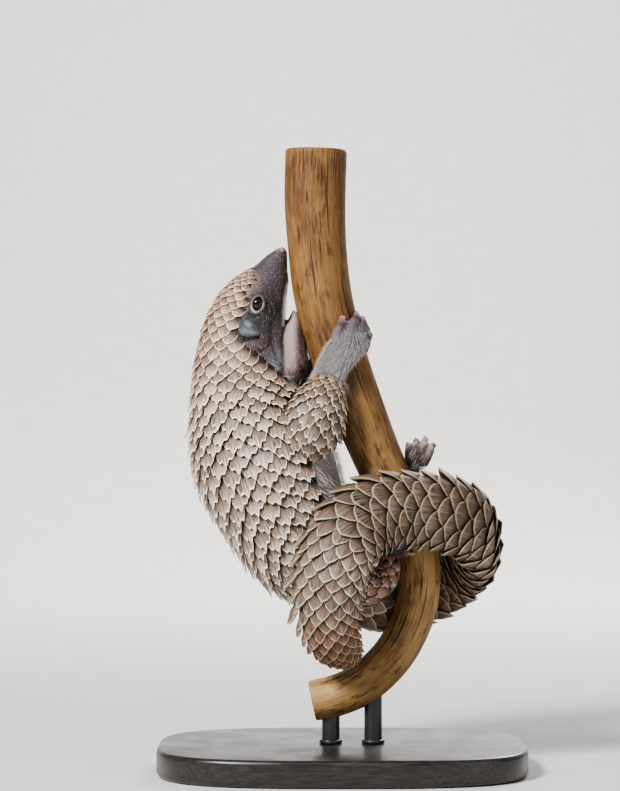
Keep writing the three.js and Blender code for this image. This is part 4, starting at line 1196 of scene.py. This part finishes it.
def cylinder(name, radius, depth, x, bottom, vertices=64):
    piece = primitive("cylinder", name, vertices=vertices, radius=radius * MM, depth=depth * MM)
    set_points(piece, get_points(piece) + np.array([x, 0, bottom + depth / 2]) * MM)
    return piece


base = cylinder("base", 1.0, BASE_HEIGHT, 0, 0, 160)
x, y, z = get_points(base).T / MM
turn = np.arctan2(y, x)
both_ways = zip(BASE_HALF, (np.cos(turn), np.sin(turn)))
curved = [half * np.sign(f) * np.abs(f) ** BASE_SQUARENESS for half, f in both_ways]
set_points(base, np.stack([*curved, z], 1) * MM)
finish_modifier(base, "BEVEL", width=2.2 * MM, segments=5, limit_method="ANGLE")
shade_smooth(base, 35)
rods = []
low_wood = curve_at(branch_centres, np.linspace(0.75, 1, 60))
for k, x in enumerate(ROD_PLACES):
    top = low_wood[np.argmin(np.abs(low_wood[:, 0] - x)), 2] - ROD_END
    stem = cylinder("stem", ROD_RADIUS, top - BASE_HEIGHT, x, BASE_HEIGHT + 0.2)
    collar = cylinder("collar", ROD_RADIUS + 1.2, 1.8, x, BASE_HEIGHT + 0.1)
    finish_modifier(collar, "BEVEL", width=0.6 * MM, segments=3, limit_method="ANGLE")
    rods.append(shade_smooth(joined(f"rod_{k + 1}", [stem, collar]), 35))
print("rods:", [p.name for p in rods])

# %% [markdown]
# ## Finishes
# Every finish is made of nodes. Patterns read the object's coordinates, a scale's own map
# or a value that was given to the points, so they stay where they are from any side. The
# recipe class keeps the wiring short: it makes a node, fills or links its inputs, and
# returns its first output.

# %% A short way to write materials
class Recipe:
    """A material with one principled shader, and short ways to make what feeds it."""

    def __init__(self, name, **constants):
        self.material = bpy.data.materials.new(name)
        self.material.use_nodes = True
        self.tree = self.material.node_tree
        self.shader = self.tree.nodes["Principled BSDF"]
        for socket, value in constants.items():
            self.shader.inputs[socket.replace("_", " ")].default_value = value

    def node(self, kind, inputs, output=0, **settings):
        node = self.tree.nodes.new("ShaderNode" + kind)
        for name, value in settings.items():
            setattr(node, name, value)
        for socket, value in inputs.items():
            self.put(node.inputs[socket], value)
        return node.outputs[output]

    def put(self, socket, value):
        if isinstance(value, bpy.types.NodeSocket):
            self.tree.links.new(value, socket)
        else:
            socket.default_value = value

    def places(self, x=1.0, y=1.0, z=1.0):
        """Object coordinates in millimetres, stretched by x, y and z."""
        return self.stretched(self.node("TexCoord", {}, "Object"), 1000 * x, 1000 * y, 1000 * z)

    def stretched(self, vector, x, y, z):
        return self.node("VectorMath", {0: vector, 1: (x, y, z)}, operation="MULTIPLY")

    def own(self, name, output="Color"):
        return self.node("Attribute", {}, output, attribute_name=name)

    def noise(self, vector, scale, detail=3.0, rough=0.5):
        return self.node("TexNoise", {"Vector": vector, "Scale": scale, "Detail": detail, "Roughness": rough})

    def step(self, value, low, high, bottom=0.0, top=1.0):
        return self.node("MapRange", {
            "Value": value, "From Min": low, "From Max": high, "To Min": bottom, "To Max": top,
        }, interpolation_type="SMOOTHSTEP")

    def math(self, operation, a, b=0.0):
        return self.node("Math", {0: a, 1: b}, operation=operation)

    def times(self, a, b):
        return self.math("MULTIPLY", a, b)

    def plus(self, a, b):
        return self.math("ADD", a, b)

    def length(self, x, y):
        return self.math("SQRT", self.plus(self.times(x, x), self.times(y, y)))

    def mix(self, amount, a, b, way="MIX"):
        """A colour between a and b, each a socket or a colour as it is seen, 0 to 255."""
        a, b = (shade(*colour) if isinstance(colour, tuple) else colour for colour in (a, b))
        return self.node("Mix", {0: amount, 6: a, 7: b}, 2, data_type="RGBA", blend_type=way)

    def vector(self, x, y, z=0.0):
        return self.node("CombineXYZ", {0: x, 1: y, 2: z})

    def parts(self, vector):
        return [self.node("SeparateXYZ", {0: vector}, k) for k in range(3)]

    def relief(self, height, distance, strength, under=None):
        inputs = {"Height": height, "Distance": distance * MM, "Strength": strength}
        if under is not None:
            inputs["Normal"] = under
        return self.node("Bump", inputs)

    def made(self, colour, roughness=None, normal=None):
        for socket, value in (("Base Color", colour), ("Roughness", roughness), ("Normal", normal)):
            if value is not None:
                self.put(self.shader.inputs[socket], value)
        return self.material


def dress(material, *pieces):
    for piece in pieces:
        piece.data.materials.clear()
        piece.data.materials.append(material)


print("recipe ready")

# %% [markdown]
# ## Horn
# A scale is matt horn. Fine lines fan out from its root to its edge, its free edge is worn
# thin and pale, its keel is painted pale as a highlight, and its root, which the scale above
# covers, is painted dark as shade. Each scale has its own tone, and weak blotches run across
# them all.

# %% Scale finishes
def horn(name, pale, dull, warm, root, rim, keel=0.5, spread=0.45, flushes=()):
    r = Recipe(name, Specular_IOR_Level=0.42)
    u, v, _ = r.parts(r.node("UVMap", {}, uv_map="ScaleMap"))
    tone = r.own("tone", "Fac")
    here = r.places()
    fan = r.times(r.math("DIVIDE", u, r.plus(v, 0.45)), 13.0)
    lines = r.noise(r.vector(fan, r.times(v, 1.3), r.times(tone, 37.0)), 1.0, 3)
    growth = r.noise(r.vector(r.times(v, 11.0), r.times(tone, 53.0)), 1.0, 2)
    blotch = r.noise(here, 0.11, 3)
    speck = r.noise(here, 1.7, 2)
    grown = r.plus(v, r.times(r.math("SUBTRACT", tone, 0.5), spread))
    grown = r.plus(grown, r.times(r.math("SUBTRACT", blotch, 0.5), -1.1))
    colour = r.mix(r.step(grown, 0.66, 1.08), dull, pale)
    colour = r.mix(r.step(r.noise(r.vector(tone, tone, tone), 9.0, 0), 0.35, 0.65, 0.0, 0.6), colour, warm)
    colour = r.mix(r.step(lines, 0.40, 0.72, 0.0, 0.36), colour, rim)
    colour = r.mix(r.step(lines, 0.46, 0.28, 0.0, 0.5), colour, root)
    colour = r.mix(r.step(speck, 0.52, 0.75, 0.0, 0.35), colour, root)
    middle = r.math("ABSOLUTE", u)
    # The keel is painted in the rim's pale colour as a highlight.
    on_keel = r.times(r.step(middle, 0.11, 0.0), r.step(v, 0.55, 0.9, 0.0, keel))
    colour = r.mix(on_keel, colour, rim)
    # Where the scale above covers the root, it is painted amber and then dark brown as shade.
    corner = r.math("SUBTRACT", v, r.times(middle, 0.2))
    colour = r.mix(r.step(corner, 0.84, 0.56, 0.0, 0.55), colour, warm)
    colour = r.mix(r.step(corner, 0.68, 0.34), colour, root)
    far_edge = r.step(v, 0.90, 0.975)
    side_edge = r.times(r.step(middle, 0.86, 0.97), r.step(v, 0.5, 0.75))
    edge = r.times(r.math("MAXIMUM", far_edge, side_edge), r.step(speck, 0.3, 0.55, 0.55, 1.0))
    colour = r.mix(edge, colour, rim)
    height = r.parts(here)[2]
    for hue, start, end in flushes:
        colour = r.mix(r.step(height, start, end), colour, hue, "MULTIPLY")
    relief = r.relief(r.plus(lines, r.times(growth, 0.5)), 0.35, 0.75)
    relief = r.relief(speck, 0.08, 0.6, relief)
    return r.made(colour, r.step(lines, 0.3, 0.8, 0.42, 0.66), relief)


body_horn = horn(
    "body_horn", (184, 172, 167), (98, 89, 83), (128, 106, 88), (38, 27, 18),
    (242, 228, 206), 0.75, flushes=[((255, 234, 227), 150, 205)])
tail_horn = horn(
    "tail_horn", (126, 115, 106), (74, 67, 62), (118, 92, 74), (30, 22, 16),
    (206, 188, 166), 0.3, 0.3,
    flushes=[((255, 232, 214), 80, 56), ((222, 218, 212), 94, 110)])
limb_horn = horn(
    "limb_horn", (138, 126, 119), (80, 71, 66), (114, 92, 76), (40, 27, 20),
    (226, 210, 190), flushes=[((255, 243, 226), 162, 174)])
hind_horn = horn(
    "hind_horn", (178, 148, 132), (112, 86, 74), (148, 100, 78), (50, 30, 22),
    (222, 198, 176))
dress(body_horn, scales_body)
dress(tail_horn, scales_tail)
dress(limb_horn, *limb_pieces[:2])
dress(hind_horn, *limb_pieces[2:])
print("horn finishes ready")

# %% [markdown]
# ## Skin, ears and hair
# Skin takes its colour from the painted points. Its bump has three sizes: creases, pores
# and short flat hairs, which lie along the body and so are drawn long in that direction.
# A little light passes into it. Hair takes the skin's colour at its root and grows paler.

# %% Skin finishes
def hide(name, hair):
    r = Recipe(name, Specular_IOR_Level=0.35, Subsurface_Weight=0.12, Subsurface_Scale=0.8 * MM)
    here = r.places()
    crease = r.noise(here, 0.55, 5, 0.6)
    pore = r.noise(here, 3.2, 2)
    hairs = r.noise(r.places(1, 1, 0.28), 2.6, 2, 0.4)
    painted = r.own("tint")
    colour = r.mix(r.step(crease, 0.35, 0.65, 0.0, 0.5), painted, (92, 78, 80), "MULTIPLY")
    colour = r.mix(r.step(crease, 0.3, 0.7, 0.25, 0.0), painted, colour)
    colour = r.mix(r.step(hairs, 0.54, 0.74, 0.0, 0.4 * hair), colour, (190, 182, 180))
    colour = r.mix(r.step(pore, 0.6, 0.8, 0.0, 0.3), colour, (60, 46, 48))
    relief = r.relief(crease, 0.45, 0.6)
    relief = r.relief(pore, 0.12, 0.5, relief)
    relief = r.relief(hairs, 0.18, 0.5 * hair + 0.2, relief)
    return r.made(colour, r.step(crease, 0.3, 0.7, 0.5, 0.68), relief)


dress(hide("hide", 0.6), skin)
dress(hide("ear_hide", 0.25), *ears.values())


def hair_finish():
    r = Recipe("hair", Specular_IOR_Level=0.3)
    colour = r.mix(r.step(r.own("tone", "Fac"), 0.2, 1.0, 0.0, 0.5), r.own("tint"), (232, 228, 224))
    streak = r.noise(r.places(2, 2, 0.5), 1.4, 2)
    colour = r.mix(r.step(streak, 0.4, 0.7, 0.0, 0.3), colour, (120, 108, 102))
    return r.made(colour, r.step(streak, 0.3, 0.7, 0.5, 0.7))


dress(hair_finish(), fur_belly, fur_face, fur_lip, fur_paws)
print("skin finishes ready")

# %% Eye and claw finishes
def eye_finish():
    """A dark eye: black pupil, deep brown iris with fine spokes, a darker outer ring."""
    r = Recipe("eye", Roughness=0.06, Coat_Weight=0.5, Coat_Roughness=0.02, Specular_IOR_Level=0.3)
    x, _, z = r.parts(r.places())
    x = r.plus(x, -float(EYE_CENTRE[0]))
    z = r.plus(z, -float(EYE_CENTRE[2]))
    out = r.length(x, z)
    turn = r.math("ARCTAN2", z, x)
    spokes = r.noise(r.vector(r.times(turn, 9.0), r.times(out, 0.8)), 1.0, 2)
    iris = r.mix(r.step(spokes, 0.35, 0.7), (18, 13, 11), (40, 31, 28))
    colour = r.mix(r.step(out, 1.0, 1.25), (6, 5, 5), iris)
    colour = r.mix(r.step(out, 1.75, 2.15), colour, (16, 12, 12))
    return r.made(colour)


def claw_finish():
    r = Recipe("claw_horn", Specular_IOR_Level=0.5)
    grain = r.noise(r.places(1, 1, 0.3), 1.8, 3)
    patchy = r.noise(r.places(), 0.35, 2)
    colour = r.mix(r.step(patchy, 0.35, 0.65), (172, 152, 134), (112, 86, 72))
    colour = r.mix(r.step(grain, 0.45, 0.7, 0.0, 0.5), colour, (92, 66, 52))
    return r.made(colour, r.step(grain, 0.3, 0.7, 0.28, 0.45), r.relief(grain, 0.1, 0.5))


dress(eye_finish(), *eyes.values())
dress(claw_finish(), claws)
print("eye and claws finished")

# %% [markdown]
# ## Wood, rods and base
# The branch is weathered and worn smooth: golden tan with long brown patches, fine fibres
# along it, raised knots, and rings on its two cut ends. The rods are painted steel, and the
# base is dark lacquered wood with a faint grain under the gloss.

# %% Branch finish
def wood_finish():
    r = Recipe("branch_wood", Specular_IOR_Level=0.35)
    straight = r.own("wood", "Vector")
    out = r.length(*r.parts(straight)[:2])
    fibre = r.noise(r.stretched(straight, 1, 1, 0.05), 1.5, 4, 0.6)
    band = r.noise(r.stretched(straight, 1, 1, 0.35), 0.075, 4, 0.62)
    stain = r.noise(r.stretched(straight, 1, 1, 0.5), 0.16, 5, 0.65)
    crack = r.noise(r.stretched(straight, 1, 1, 0.03), 0.8, 3, 0.4)
    colour = r.mix(r.step(band, 0.40, 0.60), (164, 130, 82), (122, 88, 54))
    colour = r.mix(r.step(stain, 0.50, 0.64, 0.0, 0.85), colour, (92, 58, 34))
    colour = r.mix(r.step(fibre, 0.42, 0.66, 0.0, 0.5), colour, (186, 154, 104))
    colour = r.mix(r.step(fibre, 0.42, 0.28, 0.0, 0.5), colour, (84, 58, 36))
    colour = r.mix(r.step(r.parts(r.places())[2], 90, 200), colour, (206, 192, 178), "MULTIPLY")
    colour = r.mix(r.step(crack, 0.355, 0.325, 0.0, 0.8), colour, (50, 32, 20))
    wobble = r.noise(straight, 0.25, 2)
    rings = r.math("SINE", r.times(r.plus(out, r.times(wobble, 2.2)), 5.2))
    sawn = r.mix(r.step(rings, -0.2, 0.9, 0.0, 0.7), (214, 184, 132), (160, 118, 72))
    sawn = r.mix(r.step(out, 2.2, 0.5, 0.0, 0.7), sawn, (120, 82, 48))
    colour = r.mix(r.own("cut", "Fac"), colour, sawn)
    relief = r.relief(fibre, 0.35, 0.6)
    relief = r.relief(r.step(crack, 0.36, 0.32), 0.5, 0.8, relief)
    relief = r.relief(stain, 0.5, 0.3, relief)
    return r.made(colour, r.step(fibre, 0.3, 0.7, 0.42, 0.62), relief)


def lacquer(name, light, dark, grain_size, shine):
    r = Recipe(name, Specular_IOR_Level=0.5, Coat_Weight=0.25, Coat_Roughness=0.2)
    grain = r.noise(r.places(0.12, 1.4, 1.4), grain_size, 4, 0.6)
    dust = r.noise(r.places(), 0.06, 4)
    peel = r.noise(r.places(), 0.9, 2)
    colour = r.mix(r.step(grain, 0.4, 0.65, 0.0, 1.0), dark, light)
    rough = r.plus(r.step(dust, 0.35, 0.7, shine, shine + 0.14), r.step(grain, 0.4, 0.65, 0.0, 0.05))
    return r.made(colour, rough, r.relief(peel, 0.06, 0.35, r.relief(grain, 0.08, 0.3)))


dress(wood_finish(), branch)
dress(lacquer("base_lacquer", (52, 46, 44), (30, 27, 27), 0.8, 0.3), base)
dress(lacquer("rod_paint", (46, 46, 48), (34, 34, 36), 2.4, 0.34), *rods)
print("wood and stand finished")

# %% [markdown]
# ## Floor, light and backdrop
# A museum piece is photographed on a pale sweep of paper that rises behind it, so there is
# no horizon. A large soft lamp lights it from the upper left, a weaker one opens the
# shadows from the right, and one behind draws the scales' edges.

# %% Stage
SWEEP_FRONT, SWEEP_FLAT, SWEEP_RADIUS, SWEEP_LENGTH, SWEEP_WIDTH = -3.5, 1.1, 1.6, 9.0, 10.0
UNDER_BASE = 0.0002  # keeps the paper just clear of the base

sweep = primitive("grid", "sweep", x_subdivisions=2, y_subdivisions=160, size=2)
x, y, _ = get_points(sweep).T
run = (y + 1) / 2 * SWEEP_LENGTH + SWEEP_FRONT
bend = np.clip((run - SWEEP_FLAT) / SWEEP_RADIUS, 0, math.pi / 2)
rise = np.maximum(run - SWEEP_FLAT - SWEEP_RADIUS * math.pi / 2, 0)
deep = np.minimum(run, SWEEP_FLAT) + SWEEP_RADIUS * np.sin(bend)
high = SWEEP_RADIUS * (1 - np.cos(bend)) + rise - UNDER_BASE
set_points(sweep, np.stack([x * SWEEP_WIDTH / 2, deep, high], 1))
shade_smooth(sweep)
paper = Recipe("paper", Roughness=0.9, Specular_IOR_Level=0.15)
tooth = paper.noise(paper.places(), 0.05, 3)
dress(paper.made(paper.mix(paper.step(tooth, 0.3, 0.7), (214, 212, 208), (219, 217, 213))), sweep)


def soft_light(name, place, size, power, aim=(0, 0, 0.15)):
    light = bpy.data.lights.new(name, "AREA")
    light.shape, light.size, light.energy = "DISK", size, power
    lamp = bpy.data.objects.new(name, light)
    lamp.location = place
    lamp.rotation_euler = (Vector(aim) - Vector(place)).to_track_quat("-Z", "Y").to_euler()
    bpy.context.scene.collection.objects.link(lamp)


soft_light("key", (-0.75, -0.95, 1.05), 0.36, 36)
soft_light("fill", (1.1, -0.9, 0.4), 1.0, 3)
soft_light("rim", (0.5, 1.1, 0.9), 0.6, 12)
soft_light("backdrop", (0.0, 1.0, 1.4), 1.2, 40, (0, 2.6, 0.4))
world = bpy.data.worlds.new("studio")
world.use_nodes = True
world.node_tree.nodes["Background"].inputs["Color"].default_value = (0.9, 0.93, 1.0, 1)
world.node_tree.nodes["Background"].inputs["Strength"].default_value = 0.25
bpy.context.scene.world = world
bpy.context.scene.view_settings.look = "AgX - Medium High Contrast"
print("stage set")

# %% [markdown]
# ## Handing over
# The skin stands for all the flesh solids, the ears and eyes for theirs, and every piece
# rides on the one body, because the model has no joints.

# %% Hand over
FLESH = ("head", "neck", "torso", "foreleg", "hindleg", "hand", "foot", "tail")
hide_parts(*[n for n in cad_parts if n.split("_")[0] in FLESH])
for name, piece in (*eyes.items(), *ears.items()):
    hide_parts(name)
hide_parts("perch_branch")
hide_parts("stand_base")
for k, piece in enumerate(rods):
    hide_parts(f"stand_rod_{k + 1}")
finishes = {
    "face_skin": [skin], "body_scales": [scales_body, claws, *limb_pieces], "tail_scales": [scales_tail],
    "ear_skin": ears.values(), "eye": eyes.values(), "paw_fur": [fur_belly, fur_face, fur_lip, fur_paws],
    "branch_wood": [branch], "rod_paint": rods, "base_paint": [base],
}
for slot, pieces in finishes.items():
    for piece in pieces:
        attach(piece, "root")
        print(f"{piece.name}: {triangles_of(piece)} triangles")
